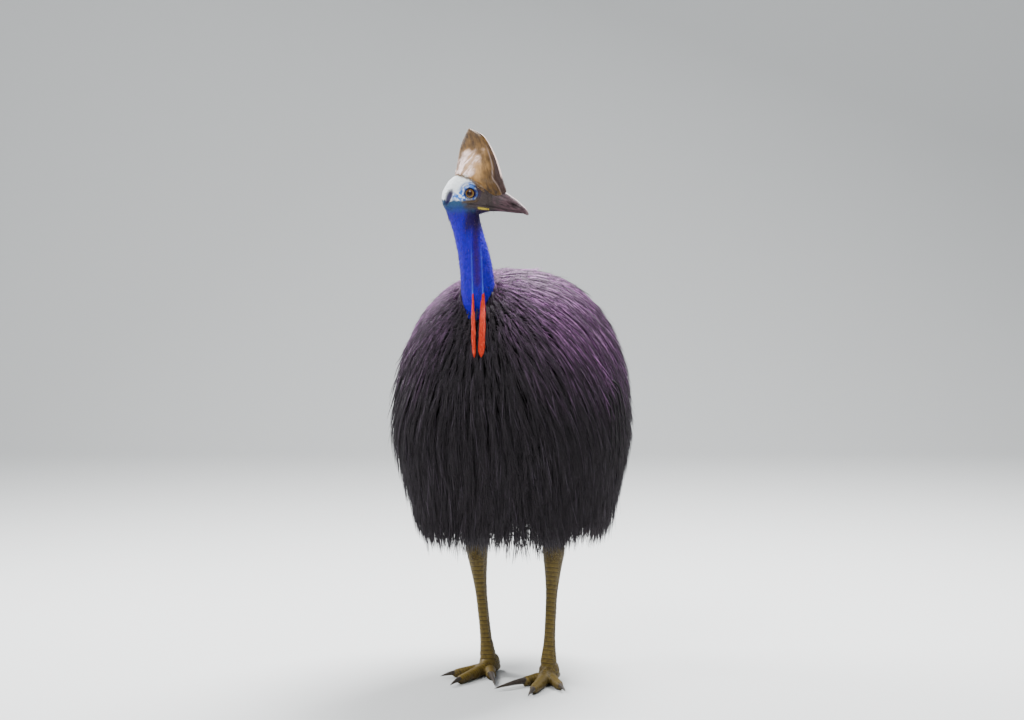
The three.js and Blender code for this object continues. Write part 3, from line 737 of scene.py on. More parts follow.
@dataclass(frozen=True)
class DownFinish(Finish):
    """Dark skin under the plumes, with short down on it."""

    dark: Colour = (0.007, 0.006, 0.007)
    grey: Colour = (0.035, 0.024, 0.036)

    def look(self, tree: Tree) -> Look:
        """Mottles the dark skin with grey where the plumes' sun-bleach and painted sheen reach."""
        fuzz = Effect.STREAKS.mask(tree, tree.place(), 300.0, 1.6)
        colour = tree.blend(tree.times(fuzz, tree.mask("bloom")), self.dark, self.grey)
        return Look(colour, 0.9, 0.08, fuzz, 2.0)


@dataclass(frozen=True)
class ScaleFinish(Finish):
    """Olive brown scales of the shanks and feet."""

    olive: Colour = (0.122, 0.082, 0.008)
    brown: Colour = (0.058, 0.034, 0.004)
    seam: Colour = (0.020, 0.012, 0.003)
    dust: Colour = (0.165, 0.115, 0.020)

    def look(self, tree: Tree) -> Look:
        """Colours small scales, the seams between them and the wear on the bands."""
        place = tree.place()
        cells = Effect.CELLS.mask(tree, place, 210.0, 1.3)
        blotch = Effect.MOTTLE.mask(tree, place, 120.0, 2.8)
        speck = Effect.MOTTLE.mask(tree, place, 420.0, 1.5)
        plain = tree.math("SUBTRACT", 1.0, tree.mask("band"))
        colour = tree.layers(
            self.brown,
            (blotch, self.olive),
            (tree.times(tree.mask("crest"), speck, 0.7), self.dust),
            (tree.times(tree.ramp(cells, (0.0, 0.85), (0.3, 0.0)), plain), self.seam),
            (tree.mask("groove"), self.seam),
        )
        rough = tree.ramp(speck, (0.0, 0.42), (1.0, 0.66))
        height = tree.math("ADD", tree.times(cells, plain), tree.times(speck, 0.25))
        return Look(colour, rough, 0.28, height, 0.9)


@dataclass(frozen=True)
class HornFinish(Finish):
    """Horn: streaks along the growth, a paler tip and painted highlight, and a satin face.

    Attributes:
        dark: the horn in its streaks and hollows, and as painted shade by the mask "soot".
        light: the horn where it is thin.
        root: the horn by the mask "root".
        worn: a paler tip and a painted highlight, by the mask "worn".
        gape: soft skin, by the mask "gape".
        scale: how fine the streaks are, per metre.
        streak: how far the streaks show.
        gloss: the roughness of clean and of worn horn.
        depth: how deep the streaks are, in millimetres.
        lean: how far the growth is turned about Y.
    """

    dark: Colour
    light: Colour
    root: Colour = (0.023, 0.0155, 0.0155)
    worn: Colour = (0.36, 0.26, 0.26)
    gape: Colour = (0.80, 0.60, 0.05)
    scale: float = 260.0
    streak: float = 1.8
    gloss: tuple[float, float] = (0.28, 0.5)
    depth: float = 0.25
    lean: float = 0.0

    def look(self, tree: Tree) -> Look:
        """Streaks the horn and colours it where its masks say."""
        streaks = Effect.STREAKS.mask(tree, tree.place(self.lean), self.scale, self.streak)
        blotch = Effect.MOTTLE.mask(tree, tree.place(), self.scale * 0.35, 2.0)
        colour = tree.layers(
            self.dark,
            (tree.blend(0.5, streaks, tree.times(streaks, blotch)), self.light),
            (tree.mask("root"), self.root),
            # painted shade in the nostril, between the bill halves and under the lower half
            (tree.mask("soot"), self.dark),
            (tree.mask("worn"), self.worn),
            (tree.mask("gape"), self.gape),
        )
        rough = tree.ramp(blotch, (0.0, self.gloss[0]), (1.0, self.gloss[1]))
        return Look(colour, rough, 0.22, streaks, self.depth)


@dataclass(frozen=True)
class CasqueFinish(Finish):
    """The casque: brown horn with straw and amber, scratched pale behind, dark on its keel, with
    painted highlights along its edges.
    """

    brown: Colour = (0.140, 0.070, 0.014)
    umber: Colour = (0.024, 0.012, 0.006)
    plum: Colour = (0.045, 0.025, 0.029)
    straw: Colour = (0.52, 0.29, 0.105)
    chalk: Colour = (1.0, 0.77, 0.74)
    edge: Colour = (0.50, 0.37, 0.33)

    def look(self, tree: Tree) -> Look:
        """Streaks the horn and lays the masks of the casque over it."""
        slant, lean = tree.place(-0.75), tree.place(0.3)
        streaks = Effect.STREAKS.mask(tree, lean, 170.0, 2.8)
        fine = Effect.STREAKS.mask(tree, lean, 620.0, 2.6)
        broad = Effect.STREAKS.mask(tree, slant, 120.0, 3.4)
        scratch = Effect.STREAKS.mask(tree, slant, 480.0, 2.4)
        blotch = Effect.STREAKS.mask(tree, lean, 70.0, 2.4)
        amber = tree.ramp(blotch, (0.1, 0.45), (0.7, 1.0))
        scratch = tree.ramp(scratch, (0.15, 0.25), (0.65, 1.0))
        broad = tree.ramp(broad, (0.2, 0.2), (0.6, 1.0))
        colour = tree.layers(
            self.umber,
            (streaks, self.brown),
            (tree.times(tree.mask("straw"), amber), self.straw),
            (tree.times(fine, 0.5), self.umber),
            (tree.times(tree.mask("chalk"), scratch, broad), self.chalk),
            (tree.mask("keel"), tree.blend(fine, self.plum, self.umber)),
            # painted highlight along the front and back edges and beside the keel
            (tree.mask("edge"), self.edge),
        )
        rough = tree.ramp(fine, (0.0, 0.42), (1.0, 0.66))
        return Look(colour, rough, 0.28, tree.blend(0.5, streaks, fine), 0.7)


@dataclass(frozen=True)
class EyeFinish(Finish):
    """A wet eye: dark pupil, amber iris with fine rays and a dark rim."""

    pupil: Colour = (0.004, 0.001, 0.001)
    inner: Colour = (0.040, 0.008, 0.006)
    outer: Colour = (0.19, 0.112, 0.022)
    rim: Colour = (0.008, 0.006, 0.005)

    def look(self, tree: Tree) -> Look:
        """Colours the ball by the distance from its axis."""
        ring = tree.mask("ring")
        fibres = Effect.MOTTLE.mask(tree, tree.place(), 900.0, 1.8)
        amber = tree.times(tree.ramp(ring, (0.42, 0.0), (0.66, 0.7)), fibres)
        colour = tree.layers(
            self.inner,
            # amber fibres and a gold ring, the ring fading towards the top as painted shade of the
            # upper lid
            (tree.math("ADD", amber, tree.mask("gold"), clamp=True), self.outer),
            (tree.ramp(ring, (0.36, 1.0), (0.42, 0.0)), self.pupil),
            (tree.ramp(ring, (0.7, 0.0), (0.77, 1.0)), self.rim),
        )
        return Look(colour, 0.1, 0.22, more={"Coat Weight": 0.04, "Coat Roughness": 0.02})


@dataclass(frozen=True)
class WattleFinish(Finish):
    """Soft orange-red skin with warts."""

    bright: Colour = (0.66, 0.034, 0.002)
    dark: Colour = (0.22, 0.006, 0.002)
    pink: Colour = (0.72, 0.12, 0.050)

    def look(self, tree: Tree) -> Look:
        """Darkens the skin between its warts and lays pink painted highlights on its raised
        streaks.
        """
        place = tree.place()
        warts = Effect.CELLS.mask(tree, place, 420.0, 1.2)
        blotch = Effect.MOTTLE.mask(tree, place, 110.0, 1.8)
        highlit_ridges = Effect.STREAKS.mask(tree, place, 380.0, 3.0)
        colour = tree.layers(
            self.dark,
            (tree.ramp(warts, (0.0, 0.2), (0.6, 1.0)), self.bright),
            (tree.times(blotch, 0.45), self.dark),
            # painted highlight: pink on the raised streaks
            (tree.ramp(highlit_ridges, (0.6, 0.0), (1.0, 0.55)), self.pink),
        )
        rough = tree.ramp(blotch, (0.0, 0.5), (1.0, 0.65))
        return Look(colour, rough, 0.18, tree.blend(0.4, warts, highlit_ridges), 1.2)


@dataclass(frozen=True)
class FloorFinish(Finish):
    """A plain pale studio floor."""

    pale: Colour = (0.50, 0.51, 0.51)

    def look(self, tree: Tree) -> Look:
        """An even matt colour."""
        return Look(self.pale, 0.85)


# ---------------------------------------------------------------- the trunk and its coat


@dataclass(frozen=True)
class Trunk:
    """The body under the coat, a shell that can be seen from its centre."""

    centre: tuple[float, float, float] = (0.0, 35.0, 690.0)
    widest: float = 655.0
    top: float = 1038.0
    bottom: float = 408.0
    half_width: float = 237.0
    half_length: float = 375.0
    tail_drop: float = 40.0
    egg: float = 0.1
    plan_power: float = 2.2
    upper_power: float = 2.7
    lower_power: float = 2.2
    neck_root: tuple[float, float, float] = (0.0, -238.0, 985.0)
    neck_swell: float = 22.0
    neck_spread: float = math.radians(11.0)
    farthest: float = 700.0
    probe: float = 3.0

    @property
    def middle(self) -> Array:
        """The centre that the shell is seen from."""
        return np.array(self.centre)

    @property
    def axes(self) -> tuple[Array, Array, Array]:
        """The directions to the root of the neck, and to breast and side square to that."""
        axis = unit(np.array(self.neck_root) - self.middle)
        fore = squared(np.array([0.0, -1.0, 0.0]), axis)
        return axis, fore, np.cross(axis, fore)

    def fill(self, points: Array) -> Array:
        """Below one inside the plain shell, above one outside it."""
        v = (points[..., 1] - self.centre[1]) / self.half_length
        z = points[..., 2] + self.tail_drop * v - self.widest
        across = np.abs(points[..., 0] / (self.half_width * (1.0 - self.egg * v)))
        upper = np.maximum(z, 0.0) / (self.top - self.widest)
        lower = np.maximum(-z, 0.0) / (self.widest - self.bottom)
        height = upper**self.upper_power + lower**self.lower_power
        return across**self.plan_power + np.abs(v) ** self.plan_power + height

    def radius(self, direction: Array) -> Array:
        """Distance from the centre to the shell along each direction."""
        near = np.zeros(direction.shape[:-1])
        far = np.full(direction.shape[:-1], self.farthest)
        for _ in range(20):
            half = (near + far) / 2.0
            inside = self.fill(self.middle + direction * half[..., None]) < 1.0
            near, far = np.where(inside, half, near), np.where(inside, far, half)
        off = np.arccos(np.clip(direction @ self.axes[0], -1.0, 1.0)) / self.neck_spread
        return near + self.neck_swell * np.exp(-0.5 * off * off)

    def on(self, points: Array, height: Array | float = 0.0) -> Array:
        """The shell's points on the rays through some points, raised along the rays."""
        direction = unit(points - self.middle)
        return self.middle + direction * (self.radius(direction) + height)[..., None]

    def height(self, points: Array) -> Array:
        """How far each point lies outside the shell, along its ray."""
        off = points - self.middle
        return np.linalg.norm(off, axis=-1) - self.radius(unit(off))

    def normal(self, points: Array) -> Array:
        """The direction in which the shell faces near each point."""
        steps = self.probe * np.eye(3)
        slopes = [self.height(points + step) - self.height(points - step) for step in steps]
        return unit(np.stack(slopes, axis=-1))

    def from_neck(self, angle: Array, turn: Array) -> Array:
        """A direction by its angle from the neck and its turn round it, 0 being the breast."""
        axis, fore, side = self.axes
        return (
            axis * np.cos(angle)[..., None]
            + fore * (np.sin(angle) * np.cos(turn))[..., None]
            + side * (np.sin(angle) * np.sin(turn))[..., None]
        )

    def polar(self, points: Array) -> tuple[Array, Array]:
        """The angle from the neck and the turn round it of each point."""
        direction = unit(points - self.middle)
        axis, fore, side = self.axes
        angle = np.arccos(np.clip(direction @ axis, -1.0, 1.0))
        return angle, np.arctan2(direction @ side, direction @ fore)

    def unwrap(self, points: Array) -> Array:
        """Each point's place on the map of roots."""
        angle, turn = self.polar(points)
        return unwrap(turn, angle / math.pi)

    def bloom(self, points: Array) -> Array:
        """How far the purple-grey of the back and shoulders reaches a place: partly sun-bleached
        feathers, partly a painted sheen of the light from above.
        """
        wander = Grain(60.0, seed=3).at(points)
        rear = above(points[:, 1], 20.0, 160.0)
        flank = above(np.abs(points[:, 0]), 150.0, 100.0)
        far = np.maximum(rear, flank)
        start = 815.0 - 30.0 * flank - (34.0 + 26.0 * far) * wander
        high = above(points[:, 2], start, 125.0 + 110.0 * far)
        face = self.normal(points)
        # painted sheen: more where the coat faces up, less where it faces forward, and little on
        # the bib under the neck, where shade falls
        shoulder = 0.25 + 0.75 * above(face[:, 2], -0.25, 0.8)
        shoulder = shoulder * (1.0 - 0.7 * below(face[:, 1], -0.28, 0.35))
        across = 0.94 * points[:, 0] + 0.342 * (points[:, 1] - self.neck_root[1])
        half = 60.0 + 0.4 * np.maximum(940.0 - points[:, 2], 0.0) + 12.0 * wander
        bib = below(np.abs(across), half, 26.0) * below(points[:, 1], -238.0, 24.0)
        return np.clip(high * shoulder * (1.0 - 0.4 * rear) * (1.0 - 0.92 * bib), 0.0, 1.0)

    def shell(self, height: float, rows: int, around: int) -> Shell:
        """The whole shell, raised by a height."""
        pole = 0.004
        angle = np.linspace(pole, math.pi - pole, rows)[:, None]
        direction = self.from_neck(*np.broadcast_arrays(angle, turns(around)))
        return Shell.lofted(self.middle + direction * (self.radius(direction) + height)[..., None])


def unwrap(turn: Array, along: Array) -> Array:
    """Places on the map of roots, from a turn round the body and a share along it."""
    return 0.01 + 0.97 * np.stack([turn / (2.0 * math.pi) + 0.5, along], axis=1)


def taper(rings: Array, widths: tuple[float, ...], late: float = 0.8) -> Array:
    """A strand's width at each ring, from its widths at the root, early, late and at the tip."""
    return np.interp(rings, [0.0, 0.3, late, 1.0], widths)


@dataclass
class Strands:
    """Many tapered strands of three sides, gathered to be one mesh.

    Faces and their places on the map come in two lists, one for four corners and one for three.
    """

    points: list[Array] = field(default_factory=list)
    faces: tuple[list[Array], ...] = field(default_factory=lambda: ([], []))
    mapped: tuple[list[Array], ...] = field(default_factory=lambda: ([], []))
    masks: dict[str, list[Array]] = field(default_factory=dict)
    used: int = 0
    patch: float = 0.003

    def add(
        self, path: Array, out: Array, width: Array, thick: float, root: Array, **masks: Array
    ) -> None:
        """Adds strands that all have the same number of rings.

        Args:
            path: the middle of each ring, by strand and ring, the last one being the tip.
            out: the direction away from the body at each ring.
            width: how wide each strand is at each ring.
            thick: how high its ridge stands for its width.
            root: each strand's place on the map of roots.
            masks: one number for each strand, or rows of one for each ring.
        """
        count, rings, _ = path.shape
        ahead = unit(np.gradient(path, axis=1))
        out = squared(out, ahead)
        side = np.cross(ahead, out) * (width / 2.0)[..., None]
        ridge = (width * thick)[..., None]
        low = path - out * (ridge / 3.0)
        corners = np.stack([low - side, path + out * (ridge * 0.66), low + side], axis=2)
        body = corners[:, :-1].reshape(count, (rings - 1) * 3, 3)
        points = np.concatenate([body, path[:, -1:]], axis=1)
        size = points.shape[1]
        ring = np.arange((rings - 1) * 3).reshape(rings - 1, 3)
        after = np.roll(ring, -1, axis=1)
        quad = np.stack([ring[:-1], ring[1:], after[1:], after[:-1]], axis=-1).reshape(-1, 4)
        tip = np.stack([ring[-1], np.full(3, size - 1), after[-1]], axis=-1)
        first = self.used + np.arange(count) * size
        local = np.full((size, 2), (0.5, 1.0))
        local[:-1, 0] = np.tile([0.0, 0.5, 1.0], rings - 1)
        local[:-1, 1] = np.repeat(np.arange(rings - 1) / (rings - 1.0), 3)
        self.points.append(points.reshape(-1, 3))
        for rows, faces, mapped in zip((quad, [*tip, [0, 1, 2]]), self.faces, self.mapped):
            rows = np.array(rows)
            faces.append((rows + first[:, None, None]).reshape(-1, rows.shape[1]))
            mapped.append((root[:, None, None] + local[rows] * self.patch).reshape(-1, 2))
        for name, value in masks.items():
            rows = np.broadcast_to(value[:, None] if value.ndim == 1 else value, (count, rings))
            spread = np.concatenate([np.repeat(rows[:, :-1], 3, axis=1), rows[:, -1:]], axis=1)
            self.masks.setdefault(name, []).append(spread.reshape(-1))
        self.used += count * size

    def mesh(self, name: str, place: Placement) -> bpy.types.Mesh:
        """Makes the mesh with its masks and its map of roots."""
        faces = [np.concatenate(rows) for rows in self.faces]
        mesh = Shell(np.concatenate(self.points), faces).mesh(name, place)
        set_masks(mesh, {key: np.concatenate(values) for key, values in self.masks.items()})
        flat = np.concatenate([*self.mapped[0], *self.mapped[1]])
        layer = mesh.uv_layers.new(name="OFBake")
        layer.uv.foreach_set("vector", flat.astype(np.float32).reshape(-1))
        return mesh


@dataclass(frozen=True)
class Lie:
    """How plumes run over the body: away from the neck, and down under their own weight."""

    trunk: Trunk
    hang_from: float = 590.0
    gather: float = 0.3
    backward: float = 0.95
    downward: float = 0.75
    steps: int = 14
    swirl: Grain = Grain((170.0, 170.0, 240.0), seed=5, octaves=1)

    def tracks(self, roots: Array, lengths: Array, sway: Array) -> tuple[Array, Array]:
        """Follows the lie from each root.

        Args:
            roots: where the plumes leave the shell.
            lengths: how long each plume is.
            sway: how far each turns aside on its way, in radians.

        Returns:
            The points along each track on the shell, and the way the coat faces there.
        """
        p, normal, heading = roots, self.trunk.normal(roots), None
        points, faces = [p], [normal]
        for k in range(self.steps):
            hanging = (p[:, 2] < self.hang_from)[:, None]
            normal = np.where(hanging, normal, self.trunk.normal(p))
            lie = unit(p - np.array(self.trunk.neck_root)) * self.backward - UP * self.downward
            lie = squared(lie, normal)
            loose = unit(lie - 2.0 * UP - 2.0 * self.gather * normal)
            lie = np.where(hanging, loose, lie)
            turn = sway * (k + 0.5) / self.steps + 0.12 * self.swirl.at(p)
            lie = lie * np.cos(turn)[:, None] + np.cross(normal, lie) * np.sin(turn)[:, None]
            heading = lie if heading is None else unit(mix(heading, lie, 0.6))
            p = p + heading * (lengths / self.steps)[:, None]
            p = np.where(hanging, p, self.trunk.on(p))
            points.append(p)
            faces.append(normal)
        return np.stack(points, axis=1), np.stack(faces, axis=1)


@dataclass(frozen=True)
class Plumes:
    """Some long plumes of the coat, with one row of each field for each plume.

    Attributes:
        track: the points along it on the shell.
        face: the way the coat faces there.
        length: how long it is.
        rise: how high it stands over the shell.
        grown: how near it is to full size, which it reaches away from the neck.
        bloom: how far the sun-bleach and painted sheen of the light from above reach its root.
        tone: its own tone.
        root: its place on the map of roots.
    """

    track: Array
    face: Array
    length: Array
    rise: Array
    grown: Array
    bloom: Array
    tone: Array
    root: Array

    def some(self, rows: Array) -> Plumes:
        """The plumes of some rows."""
        return Plumes(*(values[rows] for values in vars(self).values()))


@dataclass
class Coat:
    """The coat of long double plumes, each a pair of shafts with loose hair-like barbs."""

    workshop: Workshop
    trunk: Trunk
    finish: Material
    seed: int = 11
    first_ring: float = math.radians(6.3)
    last_ring: float = math.radians(160.0)
    spacing: float = 15.0
    length: float = 250.0
    neck_length: float = 46.0
    rise: float = 46.0
    neck_rise: float = 6.0
    tail_from: float = 285.0
    tail_length: float = 300.0
    tail_rise: float = 54.0
    lowest_root: float = 505.0
    hem: float = 388.0
    hem_drop: float = 45.0
    settle: float = 0.78
    root_depth: float = 20.0
    root_share: float = 0.12
    skin_height: float = 2.0
    shortest: float = 90.0
    ring_places: int = 240
    neck_gap: float = 0.62
    mean_radius: float = 395.0
    barbs: int = 10
    pieces: int = 9
    belly_plumes: int = 2800
    belly_middle: tuple[float, float] = (30.0, 330.0)
    belly_half: tuple[float, float] = (230.0, 360.0)
    belly_top: float = 560.0
    belly_depth: float = 25.0

    def build(self) -> None:
        """Makes the plumes and hands them in as pieces, sector by sector round the neck."""
        random = np.random.default_rng(self.seed)
        plumes, turn = self._grow(random)
        for n, rows in enumerate(np.array_split(np.argsort(turn), self.pieces)):
            strands = self._strands(plumes.some(rows), random)
            self.workshop.piece(f"plumes_{n + 1}", strands, self.finish, Slot.PLUMES)
        self._belly(random)

    def _grow(self, random: np.random.Generator) -> tuple[Plumes, Array]:
        """Every long plume, and its turn round the neck."""
        roots = self._roots(random)
        count = len(roots)
        angle, turn = self.trunk.polar(roots)
        grown = above(angle, self.first_ring, math.radians(40.0))
        tail = roots[:, 1] > self.tail_from
        length = np.where(tail, self.tail_length, mix(self.neck_length, self.length, grown))
        length = length * random.uniform(0.82, 1.12, count)
        rise = mix(self.neck_rise, self.rise, smooth(grown * 1.2))
        rise = np.where(tail, self.tail_rise, rise) * random.uniform(0.72, 1.04, count)
        sway = random.normal(0.0, 0.13, count)
        lie = Lie(self.trunk)
        end = lie.tracks(roots, length, sway)[0][:, -1, 2]
        hem = self.hem - self.hem_drop * smooth(roots[:, 1] / 300.0)
        hem = hem + 16.0 * Grain((80.0, 80.0, 400.0), seed=9).at(roots)
        hem = hem + random.uniform(-20.0, 24.0, count)
        short = (roots[:, 2] - hem) / np.maximum(roots[:, 2] - end, 1.0)
        length = np.where(end < hem, length * short, length)
        keep = (length > self.shortest) | (grown < 0.8)
        roots, length = roots[keep], length[keep]
        track, face = lie.tracks(roots, length, sway[keep])
        tone = 0.12 + 0.6 * random.beta(1.5, 2.4, len(roots))
        bloom, place = self.trunk.bloom(roots), self.trunk.unwrap(roots)
        plumes = Plumes(track, face, length, rise[keep], grown[keep], bloom, tone, place)
        return plumes, turn[keep]

    def _belly(self, random: np.random.Generator) -> None:
        """Short plumes that lie back along the belly."""
        out = np.sqrt(random.uniform(0.0, 1.0, self.belly_plumes))
        turn = random.uniform(-math.pi, math.pi, self.belly_plumes)
        (wide, long), (y, z) = self.belly_half, self.belly_middle
        under = xyz(wide * out * np.cos(turn), y + long * out * np.sin(turn), z)
        roots = self.trunk.on(under, -self.belly_depth)
        roots = roots[roots[:, 2] < self.belly_top]
        count = len(roots)
        normal = self.trunk.normal(roots)
        back = np.array([0.0, 0.9, -0.25]) + random.normal(0.0, 0.14, (count, 3))
        reach = random.uniform(55.0, 95.0, count)[:, None] * SHORT_RINGS
        lift = random.uniform(5.0, 16.0, count)[:, None] * SHORT_RINGS
        path = roots[:, None] + squared(back, normal)[:, None] * reach[..., None]
        path = path + normal[:, None] * lift[..., None]
        width = taper(SHORT_RINGS, (2.6, 4.2, 2.4, 0.4))
        width = width * random.uniform(0.7, 1.2, count)[:, None]
        strands = Strands()
        strands.add(
            path, normal[:, None], width, 0.4, self.trunk.unwrap(roots),
            tone=random.uniform(0.0, 0.5, count), reach=SHORT_RINGS[None],
        )
        self.workshop.piece("plumes_belly", strands, self.finish, Slot.PLUMES)

    def _roots(self, random: np.random.Generator) -> Array:
        """Scatters roots over the shell in shaken rings round the neck."""
        found = []
        angle = self.first_ring
        while angle < self.last_ring:
            turn = np.linspace(-math.pi, math.pi, self.ring_places)
            ring = self.trunk.from_neck(np.full(self.ring_places, angle), turn)
            legs = np.linalg.norm(np.diff(self.trunk.on(self.trunk.middle + ring), axis=0), axis=1)
            reach = np.concatenate([[0.0], np.cumsum(legs)])
            grown = float(above(angle, self.first_ring, 0.5))
            gap = self.spacing * mix(self.neck_gap, 1.0, grown)
            count = int(reach[-1] / gap)
            want = np.arange(count) + random.uniform(-0.5, 0.5, count) + 0.5
            shaken = np.interp(want * reach[-1] / count, reach, turn)
            step = gap / self.mean_radius
            angles = angle + random.uniform(-0.5, 0.5, count) * step
            found.append(self.trunk.on(self.trunk.middle + self.trunk.from_neck(angles, shaken)))
            angle += step
        roots = np.concatenate(found)
        return roots[roots[:, 2] > self.lowest_root]

    def _along(
        self, plumes: Plumes, share: Array, aside: Array, lift: Array
    ) -> tuple[Array, Array]:
        """Points along some plumes.

        Args:
            plumes: the plumes.
            share: how far along its plume each point lies.
            aside: how far it lies to the plume's side.
            lift: how far it lies above the plume.

        Returns:
            The points and the way the coat faces there.
        """
        track, face, last = plumes.track, plumes.face, plumes.track.shape[1] - 1
        spot = np.clip(share, 0.0, 1.0) * last
        low = np.minimum(spot.astype(int), last - 1)
        part = (spot - low)[..., None]
        here = np.arange(len(track))[:, None], low
        after = here[0], low + 1
        out = unit(mix(face[here], face[after], part))
        ahead = unit(track[after] - track[here])
        past = (np.maximum(share, 1.0) - 1.0) * plumes.length[:, None]
        base = mix(track[here], track[after], part) + ahead * past[..., None]
        level = 1.0 - self.settle * np.maximum(0.0, face[..., 2])
        stand = plumes.rise[:, None] * mix(level[here], level[after], part[..., 0])
        free = np.clip((share - self.root_share) / (1.0 - self.root_share), 0.0, 1.0)
        height = np.where(
            share < self.root_share,
            mix(-self.root_depth, self.skin_height, share / self.root_share),
            mix(self.skin_height, stand, free**0.85),
        )
        side = np.cross(ahead, out) * aside[..., None]
        return base + out * (height + lift)[..., None] + side, out

    def _strands(self, plumes: Plumes, random: np.random.Generator) -> Strands:
        """The shafts and barbs of some plumes."""
        strands = Strands()
        count = len(plumes.track)
        spread = mix(4.5, 16.0, plumes.grown) * random.uniform(0.75, 1.25, count)
        rings = np.array([0.0, 0.16, 0.42, 0.68, 0.88, 1.0])
        shade = np.clip(plumes.tone * 1.15, 0.0, 1.0)
        width = taper(rings, (1.7, 2.0, 1.4, 0.3)) * mix(0.55, 1.0, plumes.grown)[:, None]
        for shaft in (-1.0, 1.0):
            apart = shaft * mix(0.8, 3.4, rings) * random.uniform(0.2, 1.4, count)[:, None]
            path, out = self._along(plumes, rings[None], apart, 0.0)
            strands.add(
                path, out, width, 0.6, plumes.root, tone=shade, reach=rings[None],
                bloom=plumes.bloom,
            )
        rings = np.array([0.0, 0.34, 0.72, 1.0])
        for barb in range(self.barbs):
            start = random.uniform(0.08, 0.64, count)
            end = np.minimum(start + random.uniform(0.3, 0.46, count), 1.03)
            share = mix(start[:, None], end[:, None], rings)
            sign = 1.0 if barb % 2 else -1.0
            far = sign * spread * random.uniform(0.25, 1.0, count) * (1.0 - 0.55 * end**3)
            loose = np.where(random.uniform(0.0, 1.0, count) < 0.12, 12.0, 2.6)
            lift = (random.uniform(-1.0, 1.0, count) * loose)[:, None] * rings**1.5
            path, out = self._along(plumes, share, far[:, None] * rings**0.65, lift)
            width = taper(rings, (0.9, 1.4, 1.0, 0.2), 0.75)
            width = width * mix(0.5, 1.0, plumes.grown)[:, None]
            width = width * random.uniform(0.7, 1.2, count)[:, None]
            shade = 0.5 * plumes.tone + random.normal(0.06, 0.19, count)
            # 15 in a hundred barbs get a tone near one: painted highlight strands, which take the
            # glint colour and the full share of the purple-grey
            bright = random.uniform(0.0, 1.0, count) < 0.15
            shade = np.where(bright, random.uniform(0.8, 1.0, count), shade)
            strands.add(
                path, out, width, 0.55, plumes.root, tone=np.clip(shade, 0.0, 1.0), reach=share,
                bloom=plumes.bloom,
            )
        return strands


# ---------------------------------------------------------------- the neck and the head


@dataclass(frozen=True)
class NeckShape:
    """The bare neck: level rings along a bent line, with the throat turning as it rises."""

    stations: Profile = Profile((
        # height, sideways place, place along the body, half width, half depth, turn of the throat
        (925, 0, -226, 42, 46, 20),
        (985, 0, -238, 40.5, 44, 20),
        (1030, 2, -249, 40, 42, 21),
        (1080, -1.5, -257, 38, 40, 27),
        (1130, -11, -265, 35.5, 38.5, 42),
        (1165, -20, -269, 33.5, 39, 62),
        (1195, -28, -271, 32, 40, 80),
        (1228, -33, -271, 28, 36, 90),
    ))
    fold_at: float = 17.0
    fold_height: float = 2.4
    foot: float = 900.0
    feather_top: float = 1070.0

    def frame(self, height: Array) -> tuple[Array, Array, Array, Array, Array]:
        """The neck's middle, half width, half depth, throat and side directions at a height."""
        x, y, wide, deep, turn = self.stations.at(height)
        angle = np.radians(turn)
        front = xyz(np.sin(angle), -np.cos(angle), 0.0)
        side = xyz(np.cos(angle), np.sin(angle), 0.0)
        return xyz(x, y, height), wide, deep, front, side

    def shell(self) -> Shell:
        """The plain neck."""
        heights = np.linspace(self.foot, self.stations.rows[-1][0], 70)
        centre, wide, deep, front, side = self.frame(heights)
        return Shell.lofted(ovals(centre, front, deep, side, wide, turns(64)))

    def turn_of(self, points: Array) -> Array:
        """How far round the neck each point lies from the middle of the throat, in degrees."""
        centre, wide, deep, front, side = self.frame(points[:, 2])
        off = points - centre
        across = np.sum(off * side, axis=1) / wide
        return np.degrees(np.arctan2(across, np.sum(off * front, axis=1) / deep))

    def feathered(self, points: Array) -> Array:
        """One where short plumes climb the foot of the neck, zero on the bare skin."""
        turn = self.turn_of(points)
        left = np.interp(turn, [0, 20, 28, 90, 180], [915, 940, 980, 1034, 1042])
        right = np.interp(-turn, [0, 28, 38, 90, 180], [915, 925, 940, 1020, 1042])
        ragged = 7.0 * Grain((9.0, 9.0, 30.0), seed=25).at(points)
        return smooth((np.where(turn > 0.0, left, right) - points[:, 2] + ragged) / 8.0)


@dataclass(frozen=True)
class HeadFrame:
    """The head's own frame: forward, to its left and up, from between the eyes."""

    at: tuple[float, float, float] = (3.0, -272.0, 1238.0)
    turn: float = math.radians(2.0)
    casque_rim: tuple[tuple[float, float], ...] = (
        # forward, up
        (-50, 50), (-40, 48), (-26, 45), (-12, 42), (-2, 38),
        (8, 31), (18, 22), (28, 13), (40, 3), (56, -3),
    )

    @property
    def axes(self) -> Array:
        """The forward, left and up directions as rows."""
        c, s = math.cos(self.turn), math.sin(self.turn)
        return np.array([[c, s, 0.0], [-s, c, 0.0], [0.0, 0.0, 1.0]])

    def out(self, local: Array) -> Array:
        """Points of the head's frame in the bird's frame."""
        return np.array(self.at) + local @ self.axes

    def lofted(self, local: Array) -> Shell:
        """A closed surface through rings of points of the head's frame."""
        return Shell.lofted(self.out(local))

    def into(self, points: Array) -> Array:
        """Points of the bird's frame in the head's frame."""
        return (points - np.array(self.at)) @ self.axes.T

    def over_rim(self, local: Array) -> Array:
        """How far each point lies above the line where the casque leaves the skull."""
        return local[:, 2] - np.interp(local[:, 0], *np.array(self.casque_rim).T)


